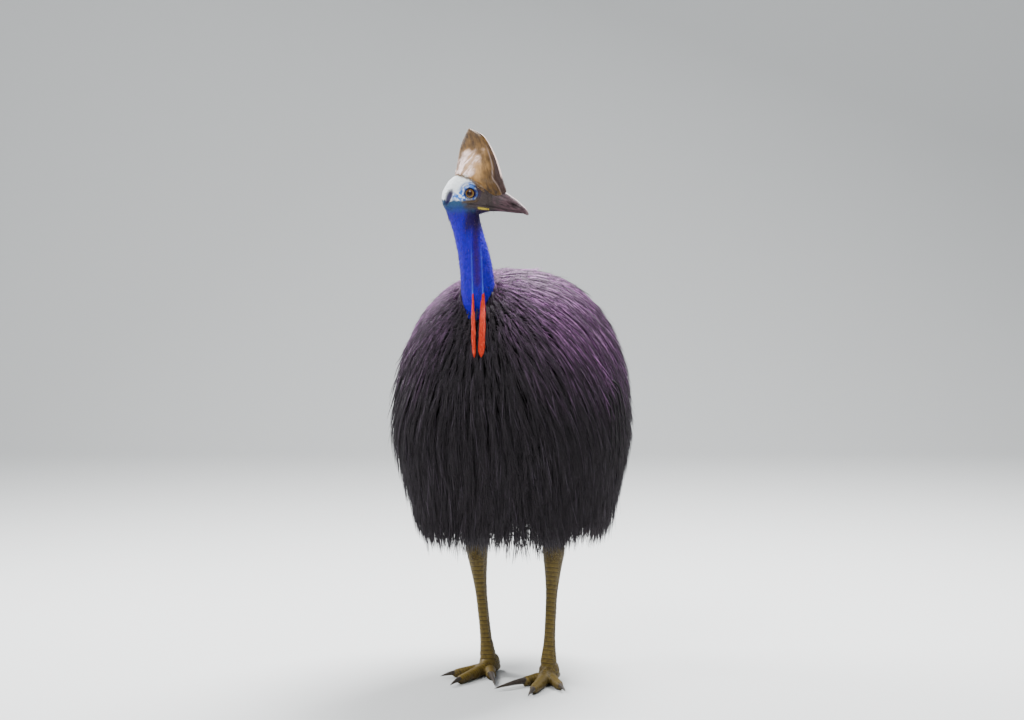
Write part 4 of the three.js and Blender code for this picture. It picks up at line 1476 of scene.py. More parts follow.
@dataclass(frozen=True)
class Skull:
    """The head without bill, casque and eyes, as rounded sections from back to front."""

    head: HeadFrame = HeadFrame()
    stations: Profile = Profile((
        # place forward, half width, top, bottom
        (-80, 7, -5, -20),
        (-74, 18, 10, -35),
        (-62, 27, 28, -49),
        (-45, 32, 42, -57),
        (-25, 34, 51, -60),
        (-5, 33, 52, -56),
        (12, 30, 38, -50),
        (28, 25.5, 23, -45),
        (42, 20.5, 13, -42.5),
        (51, 18.5, 6, -41.5),
    ))
    roundness: float = 2.3
    eye_side: float = 23.0
    eye_radius: float = 14.0
    mouth: tuple[tuple[float, float], ...] = (
        # forward, up, from the corner of the mouth to the bill
        (-7, -24.5), (4, -26), (20, -28.3), (38, -31), (56, -33.8),
    )

    def shell(self) -> Shell:
        """The plain skull."""
        places = np.concatenate([[-80.0, -79.0, -77.5], np.linspace(-75.0, 51.0, 60)])
        wide, top, bottom = self.stations.at(places)[..., None]
        circle = np.stack([np.cos(turns(72)), np.sin(turns(72))])
        across, up = np.sign(circle) * np.abs(circle) ** (2.0 / self.roundness)
        height = (top + bottom) / 2.0 + (top - bottom) / 2.0 * up
        return self.head.lofted(xyz(places[:, None], wide * across, height))

    @staticmethod
    def from_eye(local: Array) -> Array:
        """Distance of each point of the head from the axis through both eyes."""
        return np.hypot(local[:, 0], local[:, 2])

    @staticmethod
    def from_ear(local: Array) -> Array:
        """Distance from the middle of the ear, one being its edge."""
        tall = local[:, 2] + 9.0
        return np.hypot((local[:, 0] + 54.0 - 0.42 * tall) / 8.2, tall / 17.0)

    @staticmethod
    def on_side(local: Array) -> Array:
        """One on the sides of the head, zero near its middle plane."""
        return above(np.abs(local[:, 1]), 8.0, 10.0)

    def over_mouth(self, local: Array) -> Array:
        """How far each point lies above the line of the mouth."""
        return local[:, 2] - np.interp(local[:, 0], *np.array(self.mouth).T)


@dataclass
class Skin:
    """One skin over head, neck, body, thighs, shanks and feet."""

    workshop: Workshop
    trunk: Trunk
    neck: NeckShape
    skull: Skull
    legs: Legs
    depth: float = 24.0

    def build(self) -> Object:
        """Models the parts of the skin, joins them and paints their masks."""
        bare = self._head_and_neck()
        body = self.workshop.object_of("body_skin", self.trunk.shell(-self.depth, 80, 110))
        self.workshop.mark(body, Zone.FEATHERED)
        parts = [bare, *self.legs.skins()]
        finishes = SkinFinish("bare_skin"), DownFinish("downy_skin"), ScaleFinish("leg_scales")
        materials = [finish.material() for finish in finishes]
        for part in (body, *parts):
            for material in materials:
                part.data.materials.append(material)
        for part in parts:
            joint = body.modifiers.new("join", "BOOLEAN")
            joint.operation = "UNION"
            joint.solver = "MANIFOLD"
            joint.object = part
            self.workshop.applied(body)
            bpy.data.objects.remove(part)
        body.name = body.data.name = "skin"
        shade_smooth(body.data)
        points = self.workshop.points(body)
        set_masks(body.data, {**self._masks(points), **self.legs.masks(points)})
        nodes = ["head", "neck_upper", "neck_lower", "torso", "tail"]
        nodes += [f"{part}_{side.word}" for part in ("thigh", "shank", "foot") for side in Side]
        return self.workshop.hand_in(body, Slot.NECK, *nodes)

    def _head_and_neck(self) -> Object:
        """Melts skull and neck together and carves lids, ears, mouth and folds."""
        piece = self.workshop.fused("bare_skin", [self.skull.shell(), self.neck.shell()], 1.25, 12)
        self.workshop.mark(piece, Zone.BARE)
        points = self.workshop.points(piece)
        raised = self.workshop.raise_by(piece, self._relief(points))
        self.workshop.move(piece, raised + self._eye_opening(points))
        return piece

    def _eye_opening(self, points: Array) -> Array:
        """Moves the skin over each eye in behind the ball and raises a lid round it."""
        local = self.skull.head.into(points)
        away = self.skull.from_eye(local)
        side = self.skull.on_side(local) * (np.abs(local[:, 0]) < 40.0)
        lid = 2.6 * hump(away - 13.6, 1.9) + 1.2 * hump(away - 18.4, 1.5)
        furrow = 0.9 * hump(away - 23.0, 1.6) - 1.0 * hump(away - 20.6, 2.6)
        furrow = furrow - 0.7 * hump(away - 25.6, 1.8)
        sunk = -8.0 * below(away, 12.4, 2.6)
        push = (lid + furrow + sunk) * side * np.sign(local[:, 1])
        return push[:, None] * self.skull.head.axes[1]

    def _relief(self, points: Array) -> Array:
        """How far each point of head and neck stands out or in."""
        local = self.skull.head.into(points)
        forward, up, height = local[:, 0], local[:, 2], points[:, 2]
        on_neck = below(height, 1205.0, 30.0)
        on_head = 1.0 - on_neck
        away = self.skull.from_eye(local)
        brow = 2.4 * hump(up - (15.0 + 0.1 * forward), 3.6)
        brow = brow * above(forward, -22.0, 16.0) * below(forward, 44.0, 14.0)
        off_line = self.skull.over_mouth(local)
        slit = 0.9 * hump(off_line + 4.2, 2.4) - 2.1 * hump(off_line, 1.5)
        slit = slit * above(forward, self.skull.mouth[0][0], 4.0)
        corner = 1.1 * hump(np.hypot(forward + 9.0, up + 24.5), 3.5)
        ear = self.skull.from_ear(local)
        hollow = -5.0 * np.exp(-(ear**4)) + 1.3 * hump(ear - 1.3, 0.25)
        cheek = 1.8 * hump(np.hypot((forward + 24.0) / 15.0, (up + 26.0) / 9.0), 1.0)
        temple = -1.6 * hump(np.hypot((forward + 28.0) / 9.0, (up - 8.0) / 8.0), 1.0)
        pouch = 0.8 * hump(away - 23.0, 1.7) * below(up, -2.0, 8.0)
        face = brow + slit + corner + hollow + cheek + temple + pouch
        face = face * self.skull.on_side(local) * on_head * above(away, 10.0, 4.0)
        cere = Grain(8.0, seed=23).at(points)
        face -= 2.2 * above(forward + 5.0 * cere, 36.0, 8.0) * on_head
        wrinkle = Grain((7.0, 7.0, 4.5), seed=21, octaves=3).at(points)
        crease = np.abs(Grain((16.0, 16.0, 5.0), seed=22).at(points))
        fine = (0.5 * wrinkle + 0.35 * crease) * on_head * above(away, 15.0, 5.0)
        turn = self.neck.turn_of(points)
        folds = self.neck.fold_height * hump(np.abs(turn) - self.neck.fold_at, 4.2)
        folds += 0.9 * hump(np.abs(turn) - 52.0, 9.0) - 1.3 * hump(turn, 7.0)
        rumple = 0.75 * wrinkle + 0.55 * crease
        return face + fine + on_neck * (folds * below(height, 1175.0, 60.0) + rumple)

    def _masks(self, points: Array) -> dict[str, Array]:
        """The masks that place every colour of head, neck and body."""
        local = self.skull.head.into(points)
        forward, up, height = local[:, 0], local[:, 2], points[:, 2]
        side = self.skull.on_side(local)
        wander = Grain(9.0, seed=31, octaves=3).at(points)
        head = above(height + 6.0 * wander, 1178.0, 14.0)
        away = self.skull.from_eye(local)
        turn = self.neck.turn_of(points)
        round_neck = np.abs(turn)
        back = below(forward - 5.0 * wander, 15.0, 12.0)
        level = up + 4.0 * wander
        pale = np.maximum(back * above(level, -21.0, 7.0), 0.9 * hump(away - 17.0, 1.6) * side)
        # painted light: the top of the head behind the eyes gets no sky blue, so it stays plain
        # pale where the light from above falls on it
        crown = above(up + 5.0 * wander, 14.0, 12.0) * below(forward, -16.0, 10.0)
        sky = 0.95 * below(away, 35.0, 15.0) + hump(up + 8.0, 10.0) * above(forward, -50.0, 10.0)
        turquoise = 0.95 * above(level, -58.0, 34.0) * back * above(height, 1168.0, 30.0)
        under_eye = above(forward + 8.0 * wander, -26.0, 26.0)
        under_eye = under_eye * below(up - 3.0 * wander, -12.0, 7.0) * above(up, -46.0, 16.0)
        lores = np.maximum(above(forward + 7.0 * wander, 9.0, 14.0), 0.92 * under_eye)
        lores = lores * head * above(away, 13.5, 3.0) * above(up, -46.0, 10.0)
        chin = above(forward, -20.0, 14.0) * below(up, -36.0, 8.0) * head
        upper = below(round_neck, 64.0, 24.0) * above(height, 1125.0, 45.0)
        gape = hump(self.skull.over_mouth(local) + 7.0, 2.1) * above(forward, 15.0, 5.0)
        gape = gape * below(forward, 50.0, 5.0) * side
        lids = 0.6 * hump(away - 20.6, 1.2) + 0.4 * hump(away - 25.6, 1.3)
        lids = np.maximum(0.92 * hump(away - 13.0, 1.9), above(up, -2.0, 7.0) * lids)
        gilt = hump(up + 19.0 - 0.12 * forward, 3.6)
        gilt = gilt * above(forward, -24.0, 8.0) * below(forward, 22.0, 8.0)
        folds = hump(round_neck - self.neck.fold_at, 1.9) * below(height, 1125.0, 45.0)
        folds = folds * above(height, 985.0, 20.0) * (0.35 + 0.5 * below(height, 1045.0, 50.0))
        nape = above(round_neck + 10.0 * wander, 118.0, 22.0)
        nape = nape * below(height - 14.0 * wander, 1110.0, 40.0)
        rim = above(self.skull.head.over_rim(local) + 3.0 * wander, -3.0, 3.0)
        ear = 0.96 * np.exp(-((0.93 * self.skull.from_ear(local)) ** 6))
        return {
            "stripe": 0.9 * hump(turn, 13.0) * above(height, 1000.0, 30.0),
            # dark throat skin under the jaw and up the front of the throat, and a band of painted
            # shade just under the head
            "throat": np.maximum.reduce([chin, 0.92 * upper, 0.35 * hump(height - 1192.0, 24.0)]),
            "red": 0.9 * nape,
            "turquoise": turquoise,
            "pale": np.clip(pale * head, 0.0, 1.0),
            "sky": np.clip(sky, 0.0, 1.0) * (1.0 - 0.9 * crown),
            "line": folds * (1.0 - head),
            "lores": lores,
            "ear": np.maximum(ear, lids) * side * head,
            "gilt": 0.7 * gilt * side * head,
            "gape": gape * 0.95,
            "fringe": 0.7 * rim * below(forward, 34.0, 8.0) * head,
            "down": self.neck.feathered(points) * (height < self.neck.feather_top),
            "bloom": self.trunk.bloom(points),
        }


@dataclass(frozen=True)
class Tuft:
    """One kind of short hair on the bare skin.

    Attributes:
        name: the piece's name.
        count: how many hairs.
        length: shortest and longest hair.
        width: how wide a hair is.
        lift: how far its tip stands off the skin.
        along: its direction in the head's frame: forward, left and up.
        bloom: how far it takes the plumes' sun-bleach and painted sheen.
    """

    name: str
    count: int
    length: tuple[float, float]
    width: float
    lift: float
    along: tuple[float, float, float] = (0.0, 0.0, -1.0)
    bloom: float = 0.0


@dataclass
class Hairs:
    """The short hairs of head and neck, rooted on the skin's own vertices."""

    workshop: Workshop
    trunk: Trunk
    neck: NeckShape
    skull: Skull
    seed: int = 17
    collar: tuple[float, float] = (935.0, 1060.0)
    bare_neck: tuple[float, float] = (985.0, 1190.0)
    head_from: float = 1200.0

    def build(self, skin: Object, plumes: Material) -> None:
        """Plants the plumes at the foot of the neck, its bristles and the hairs of the head."""
        random = np.random.default_rng(self.seed)
        points = self.workshop.points(skin)
        normals = vectors_of(skin.data.vertex_normals, "vector")
        local = self.skull.head.into(points)
        height = points[:, 2]
        on_head = height > self.head_from
        low, high = self.collar
        foot = self.neck.feathered(points) * (height > low) * (height < high)
        low, high = self.bare_neck
        bare = (1.0 - above(height, high, 20.0)) * (height > low)
        rim = hump(self.skull.head.over_rim(local) + 0.5, 1.8) * (local[:, 0] < 34.0) * on_head
        ear = hump(self.skull.from_ear(local) - 0.9, 0.3) * on_head
        ear = ear * (np.abs(local[:, 1]) > 14.0)
        amber = PlumeFinish(
            "straw_hair", deep=(0.14, 0.075, 0.034), bloom=(0.5, 0.4, 0.3),
            rust=(0.36, 0.24, 0.12), glint=(0.45, 0.34, 0.22),
        ).material()
        for tuft, chance, finish in (
            (Tuft("collar_plumes", 1500, (34.0, 62.0), 1.8, 9.0), foot, plumes),
            (Tuft("neck_bristles", 2000, (7.0, 13.0), 0.45, 2.6, bloom=0.12), bare, plumes),
            (Tuft("casque_fringe", 700, (5.0, 10.0), 0.7, 1.6, (-0.5, 0.0, -0.8)), rim, amber),
            (Tuft("ear_bristles", 130, (6.0, 10.0), 0.5, 2.2, (-0.8, 0.0, -0.4), 0.2), ear, plumes),
        ):
            chosen = random.choice(len(points), tuft.count, p=chance / chance.sum())
            strands = self._strands(tuft, points[chosen], normals[chosen], random)
            self.workshop.piece(tuft.name, strands, finish, Slot.PLUMES)

    def _strands(
        self, tuft: Tuft, roots: Array, out: Array, random: np.random.Generator
    ) -> Strands:
        """Grows one kind of hair from its roots."""
        count = len(roots)
        rings = SHORT_RINGS
        lie = np.array(tuft.along) @ self.skull.head.axes + random.normal(0.0, 0.16, (count, 3))
        length = random.uniform(*tuft.length, count)[:, None] * rings
        lift = tuft.lift * random.uniform(0.5, 1.2, count)
        rise = lift[:, None] * rings**1.3 - 1.5 * (1.0 - rings) ** 3
        path = roots[:, None] + squared(lie, out)[:, None] * length[..., None]
        path = path + out[:, None] * rise[..., None]
        width = tuft.width * taper(rings, (0.8, 1.0, 0.7, 0.2))
        off = roots - np.array(self.skull.head.at)
        along = (roots[:, 2] - self.neck.foot) / 400.0
        place = unwrap(np.arctan2(off[:, 1], off[:, 0]), along)
        bloom = 0.85 * self.trunk.bloom(roots) * (roots[:, 2] < self.neck.feather_top)
        strands = Strands()
        strands.add(
            path, out[:, None], width, 0.6, place, tone=random.beta(1.5, 2.0, count),
            reach=rings[None], bloom=np.maximum(tuft.bloom, bloom),
        )
        return strands


# ---------------------------------------------------------------- horn, eyes and wattles


@dataclass
class HeadPieces:
    """The separate pieces of the head: casque, bill and eyes."""

    workshop: Workshop
    skull: Skull

    CASQUE = Profile((
        # up, front, back, half thickness
        (-6, 80, 38, 12),
        (8, 79, 18, 19),
        (22, 74, 0, 23),
        (34, 70, -40, 25),
        (46, 66.5, -46, 24),
        (58, 63, -43.5, 22.2),
        (79, 56, -40, 18.5),
        (101, 46.5, -36, 15),
        (121, 35, -29.5, 11.5),
        (136, 23.5, -23, 9),
        (146, 7, -18, 6.6),
        (154, -11, -14, 3),
    ))
    CASQUE_SECTION = Profile((
        # share from front to back, share of the half thickness
        (0.0, 0.2), (0.09, 0.36), (0.24, 0.74), (0.46, 0.98),
        (0.68, 0.96), (0.87, 0.66), (1.0, 0.24),
    ))
    BILL_UPPER = Profile((
        # forward, half width, top, bottom
        (40, 17.5, 9.5, -30.5),
        (50, 17, 8, -32),
        (65, 16, 5, -35),
        (80, 14.5, 1.7, -38),
        (98, 12, -10, -40.5),
        (109, 10.3, -17.5, -42.3),
        (120, 8, -27, -45.3),
        (129, 6, -35.5, -49.5),
        (133.5, 3.6, -41.5, -51.5),
        (136, 1.2, -46.5, -50),
    ))
    BILL_LOWER = Profile((
        (40, 16.5, -31.2, -43),
        (50, 16, -32.6, -43),
        (65, 15, -35.6, -43.2),
        (80, 13.3, -38.6, -44),
        (98, 10.5, -41.2, -46),
        (113, 7, -43.4, -47.2),
        (125, 1.6, -46.2, -48),
    ))
    UPPER_SECTION = Profile((
        # place round the section, share of the half width, share of the height
        (0.0, 1.0, 0.0),
        (0.14, 1.0, 0.28),
        (0.27, 0.86, 0.6),
        (0.39, 0.52, 0.86),
        (0.46, 0.2, 0.98),
        (0.5, 0.0, 1.0),
        (0.54, -0.2, 0.98),
        (0.61, -0.52, 0.86),
        (0.73, -0.86, 0.6),
        (0.86, -1.0, 0.28),
        (1.0, -1.0, 0.0),
    ))
    LOWER_SECTION = Profile((
        (0.0, 1.0, 1.0),
        (0.2, 0.93, 0.45),
        (0.35, 0.6, 0.08),
        (0.45, 0.2, 0.0),
        (0.55, -0.2, 0.0),
        (0.65, -0.6, 0.08),
        (0.8, -0.93, 0.45),
        (1.0, -1.0, 1.0),
    ))

    def build(self) -> None:
        """Makes every piece and hands it in."""
        self._casque()
        self._bill()
        finish = EyeFinish("wet_eye").material()
        for side in Side:
            self._eye(side, finish)

    def _casque(self) -> None:
        """The tall flattened helmet of horn with its keel."""
        heights = np.concatenate([np.linspace(-6.0, 150.0, 110), [151.5, 153.0, 154.0]])[:, None]
        front, back, half = self.CASQUE.at(heights[:, 0])[..., None]
        share = np.concatenate([np.linspace(0.0, 0.1, 9)[:-1], np.linspace(0.1, 1.0, 44)])
        across = self.CASQUE_SECTION.at(share)[0]
        share = np.concatenate([share, share[::-1]])
        wide = half * np.concatenate([across, -across[::-1]])
        local = xyz(mix(front, back, share), wide, heights)
        swell = 0.85 * Grain((8.0, 9.0, 48.0), seed=41, octaves=3).at(local)
        swell = swell + 1.1 * Grain((24.0, 24.0, 30.0), seed=42).at(local)
        groove = -1.4 * hump(share - 0.09, 0.024) * above(heights, 8.0, 30.0)
        local[..., 1] += np.sign(wide) * (swell * np.clip(half / 14.0, 0.2, 1.0) + groove)
        flat = Shell.points_of(local)
        forward, up = flat[:, 0], flat[:, 2]
        rows = Shell.spread(share, wide.shape)
        wander = Grain(16.0, seed=43, octaves=3).at(flat)
        straw = 1.35 - np.hypot((forward - 1.0) / 39.0, (up - 62.0) / 56.0) + 0.3 * wander
        along = 0.66 * (forward + 16.0) + 0.75 * (up - 64.0)
        aside = 0.75 * (forward + 16.0) - 0.66 * (up - 64.0)
        chalk = 1.55 - np.hypot(along / 38.0, aside / 21.0) + 0.3 * wander
        keel = 0.115 + 0.055 * below(up, 70.0, 50.0)
        # painted highlight: pale lines on the front and back edges, and one just behind the keel
        # line
        ends = below(np.minimum(rows, 1.006 - rows), 0.010, 0.008) * above(up, 30.0, 20.0)
        ridge = 0.45 * hump(rows - keel - 0.006, 0.011) * below(up, 122.0, 30.0)
        self.workshop.piece(
            "casque_horn", self.skull.head.lofted(local),
            CasqueFinish("casque_horn").material(), Slot.CASQUE, "casque",
            straw=smooth(straw), chalk=smooth(chalk / 0.8), edge=np.maximum(ends, ridge),
            keel=0.9 * below(rows - 0.02 * wander, keel, 0.04) * below(up, 125.0, 60.0),
        )

    def _bill(self) -> None:
        """The two halves of the bill with the nostrils."""
        nostril_at, nostril_up = 101.0, -27.0
        finish = HornFinish(
            "bill_horn", dark=(0.010, 0.005, 0.006), light=(0.108, 0.054, 0.068), scale=230.0,
            streak=2.6, gloss=(0.45, 0.65), depth=0.3, lean=-1.92,
        ).material()
        for name, table, section in (
            ("bill_upper", self.BILL_UPPER, self.UPPER_SECTION),
            ("bill_lower", self.BILL_LOWER, self.LOWER_SECTION),
        ):
            is_upper = name == "bill_upper"
            start, stop = table.rows[0][0], table.rows[-1][0]
            places = mix(start, stop, np.linspace(0.0, 1.0, 90) ** 0.85)
            wide, top, bottom = table.at(places)[..., None]
            across, up = section.at(np.linspace(0.0, 1.0, 60))
            local = xyz(places[:, None], wide * across, mix(bottom, top, up))
            if is_upper:
                ahead, rise = local[..., 0] - nostril_at, local[..., 2] - nostril_up
                slot = np.hypot((ahead + 0.55 * rise) / 7.5, (rise + 0.4 * ahead) / 2.5)
                pit = 3.6 * np.exp(-(slot**2)) - 0.8 * hump(slot - 1.9, 0.6)
                local[..., 1] -= np.sign(local[..., 1]) * pit * (np.abs(up - 0.5) < 0.42)
            lumps = Grain((14.0, 10.0, 10.0), seed=51, octaves=3).at(local)
            local[..., 1] += np.sign(local[..., 1]) * 0.35 * lumps
            flat = Shell.points_of(local)
            forward, height = flat[:, 0], flat[:, 2]
            ring = Shell.spread(up, wide.shape[:1] + up.shape)
            wander = Grain(8.0, seed=52, octaves=3).at(flat)
            ahead, rise = forward - nostril_at, height - nostril_up
            slot = np.hypot(ahead / 8.5, (rise + 0.4 * ahead) / 3.0)
            # painted highlight: a pale line along the top ridge of the upper bill; the tip is paler
            # too
            ridge = 0.8 * above(ring, 0.955, 0.04) * above(forward, 66.0, 20.0) * is_upper
            gape = 0.95 * hump(height + 37.8, 1.8) * below(forward, 43.0, 3.0)
            # painted shade: dark in the nostril pit, along the lower edge of the upper half where
            # it meets the lower, and under the lower half
            soot = np.maximum(np.exp(-(slot**2)) * is_upper, 0.8 * hump((ring - 0.02) / 0.07, 1.0))
            self.workshop.piece(
                f"{name}_horn", self.skull.head.lofted(local), finish, Slot.BILL, name,
                root=below(forward + 12.0 * wander, 80.0, 30.0), soot=np.clip(soot, 0.0, 1.0),
                worn=np.maximum(0.35 * above(forward, 126.0, 12.0), ridge),
                gape=gape * (not is_upper),
            )

    def _eye(self, side: Side, finish: Material) -> None:
        """One eyeball: a cap of a ball that reaches a little past its middle."""
        tilt = np.linspace(0.0, math.radians(100.0), 48)
        x, z, out = np.moveaxis(self.skull.eye_radius * globe(tilt, 64), -1, 0)
        local = xyz(x, side.value * (self.skull.eye_side + out), z)
        ring = Shell.spread(np.sin(tilt)[:, None], z.shape, (0.0, 1.0))
        # painted shade of the upper lid: the gold ring fades towards the top of the ball
        low = smooth(0.7 - Shell.spread(z, z.shape, (0.0, 0.0)) / self.skull.eye_radius)
        self.workshop.piece(
            f"eyeball_{side.word}", self.skull.head.lofted(local), finish, Slot.EYE,
            f"eye_{side.word}", ring=ring, gold=0.85 * hump(ring - 0.63, 0.07) * mix(0.1, 1.0, low),
        )


@dataclass
class Wattles:
    """Two wattles that hang from the foot of the throat over the breast."""

    workshop: Workshop
    neck: NeckShape
    thick: float = 6.0
    top: float = 1010.0
    bottom: float = 850.0
    path: Profile = Profile((
        # height, distance in front of the neck's axis, distance from the middle, share of width
        (1012, 42.5, 12, 0.16),
        (998, 46, 12, 0.36),
        (985, 48, 11.9, 0.54),
        (970, 52, 11.7, 0.68),
        (955, 62, 11.4, 0.78),
        (940, 71, 11, 0.86),
        (920, 79, 10.6, 0.94),
        (900, 86, 10.1, 1),
        (880, 92, 9.6, 1),
        (865, 96, 8.8, 0.86),
        (850, 99, 8, 0.3),
    ))

    def build(self) -> None:
        """Makes both wattles."""
        finish = WattleFinish("wattle_skin").material()
        centre, _, _, front, across = (v[0] for v in self.neck.frame(np.array([985.0])))
        for side, wide in ((Side.LEFT, 15.4), (Side.RIGHT, 9.6)):
            height = mix(self.top, self.bottom, np.linspace(0.0, 1.0, 120))
            reach, spread, share = self.path.at(height)
            share = share * np.sqrt(np.clip((height - self.bottom + 0.4) / 7.0, 0.02, 1.0))
            middle = centre + front * reach[:, None] + across * (side.value * spread)[:, None]
            middle[:, 2] = height
            thick = self.thick / 2.0 * np.clip(share * 1.6, 0.1, 1.0)
            rings = ovals(middle, across, wide * share / 2.0, front, thick, turns(40))
            swell = 0.6 * Grain(5.0, seed=61 + side.value).at(rings)
            swell = swell + 0.6 * Grain((11.0, 11.0, 16.0), seed=63 + side.value).at(rings)
            rings = rings + unit(rings - middle[:, None]) * swell[..., None]
            self.workshop.piece(
                f"wattle_skin_{side.word}", Shell.lofted(rings), finish, Slot.WATTLE,
                f"wattle_{side.word}",
            )


# ---------------------------------------------------------------- legs, feet and claws


@dataclass(frozen=True)
class Toe:
    """One toe and its claw.

    Attributes:
        name: which toe.
        turn: its turn from straight ahead to the outer side, in degrees.
        length: how long it is.
        wide: its half width at the foot and at the claw.
        tall: its half height at the foot and at the claw.
        claw: the claw's length, its radius and how far its tip drops.
    """

    name: str
    turn: float
    length: float
    wide: tuple[float, float]
    tall: tuple[float, float]
    claw: tuple[float, float, float]


@dataclass(frozen=True)
class Leg:
    """One leg, from the thigh under the plumes to the sole."""

    side: Side
    hock: tuple[float, float, float]
    ankle: tuple[float, float, float]
    toe_turn: float
    claw_root: float = 9.0
    pad: float = 38.0

    SHANK = Profile((
        # distance below the hock, half width, half depth
        (-27, 10, 12),
        (-20, 19, 24),
        (-4, 27, 31),
        (12, 26.5, 30.5),
        (36, 23, 26),
        (70, 18.4, 21.3),
        (110, 14.6, 17.8),
        (150, 13.6, 16.8),
        (225, 14, 17),
        (262, 18, 19),
        (284, 20.5, 20),
        (300, 17, 16),
    ))
    THIGH = Profile((
        # height above the hock, half width, half depth, shift inward, shift along the body
        (-8, 20, 24, 0, 0),
        (12, 23, 27, 0, 0),
        (30, 24, 29, 0, -2),
        (52, 27, 34, 0, -5),
        (78, 34, 44, 0, -10),
        (110, 46, 60, 4, -18),
        (150, 56, 74, 8, -26),
        (190, 60, 80, 10, -30),
    ))
    TOES = (
        Toe("middle", 0.0, 152.0, (17.0, 11.0), (17.0, 10.0), (38.0, 8.2, 6.0)),
        Toe("outer", 33.0, 104.0, (15.0, 10.0), (16.0, 9.5), (34.0, 7.6, 5.0)),
        Toe("inner", -36.0, 82.0, (16.0, 12.0), (16.0, 11.5), (92.0, 10.0, 7.0)),
    )

    @property
    def axis(self) -> Array:
        """The direction from the hock to the ankle."""
        return unit(np.array(self.ankle) - np.array(self.hock))

    @staticmethod
    def across(ahead: Array) -> tuple[Array, Array]:
        """The sideways and forward directions across a limb that runs ahead."""
        side = squared(np.array([1.0, 0.0, 0.0]), ahead)
        front = unit(np.cross(side, ahead))
        return side, -front if front[1] > 0.0 else front

    def limb(self, centre: Array, ahead: Array, wide: Array, deep: Array) -> Shell:
        """A lofted limb of oval rings."""
        side, front = self.across(ahead)
        return Shell.lofted(ovals(centre, front, deep, side, wide, turns(40)))

    def shank(self) -> Shell:
        """The bare shank with the knob of the hock."""
        top, end = self.SHANK.rows[0][0], self.SHANK.rows[-1][0]
        reach = float(np.linalg.norm(np.array(self.ankle) - np.array(self.hock)))
        place = np.linspace(top, reach, 80)
        wide, deep = self.SHANK.at(np.minimum(place, end))
        return self.limb(np.array(self.hock) + self.axis * place[:, None], self.axis, wide, deep)

    def thigh(self) -> Shell:
        """The lower thigh, up into the body."""
        height = np.linspace(self.THIGH.rows[0][0], self.THIGH.rows[-1][0], 30)
        wide, deep, inward, back = self.THIGH.at(height)
        shift = xyz(-self.side.value * inward, back, height)
        return self.limb(np.array(self.hock) + shift, -UP, wide, deep)

    def toe_frame(self, toe: Toe) -> tuple[Array, Array, Array]:
        """The foot's middle on the ground, and the directions along and across a toe."""
        turn = math.radians(self.toe_turn + toe.turn)
        ahead = np.array([self.side.value * math.sin(turn), -math.cos(turn), 0.0])
        across = np.array([-ahead[1], ahead[0], 0.0])
        return np.array([*self.ankle[:2], 0.0]), ahead, across

    def toe(self, toe: Toe) -> Shell:
        """One toe with its pads."""
        foot, ahead, across = self.toe_frame(toe)
        share = np.linspace(0.0, 1.0, 30)
        tall = mix(*toe.tall, share)
        pads = 1.0 + 0.09 * np.cos(share * toe.length / self.pad * 2.0 * math.pi)
        close = np.sqrt(np.clip((1.0 - share) / 0.09, 0.25, 1.0))
        middle = foot + ahead * (toe.length * share)[:, None]
        middle[:, 2] = tall + 14.0 * smooth(1.0 - share * 3.2)
        wide = mix(*toe.wide, share) * pads * close
        return Shell.lofted(ovals(middle, across, wide, UP, tall * close, turns(28)))

    def ball(self, size: tuple[float, float, float], at: tuple[float, float, float]) -> Shell:
        """A rounded lump set out from the ankle."""
        ball = globe(np.linspace(0.05, math.pi - 0.05, 18), 24) * np.array(size)
        return Shell.lofted(ball + (np.array([*self.ankle[:2], 0.0]) + np.array(at)))

    def claw(self, toe: Toe) -> Shell:
        """One claw, a curved cone with a ridge."""
        length, radius, drop = toe.claw
        foot, ahead, across = self.toe_frame(toe)
        base = foot + ahead * (toe.length - self.claw_root)
        share = np.linspace(0.0, 0.995, 40)
        middle = base + ahead * ((length + self.claw_root) * share)[:, None]
        middle[:, 2] = radius + 4.0 - drop * share * share
        size = radius * (1.0 - share) ** 0.75
        turn = turns(28)
        under = 1.0 - 0.22 * smooth(-np.sin(turn) * 1.4)
        return Shell.lofted(ovals(middle, across, 0.85 * size, UP, size, turn, under))


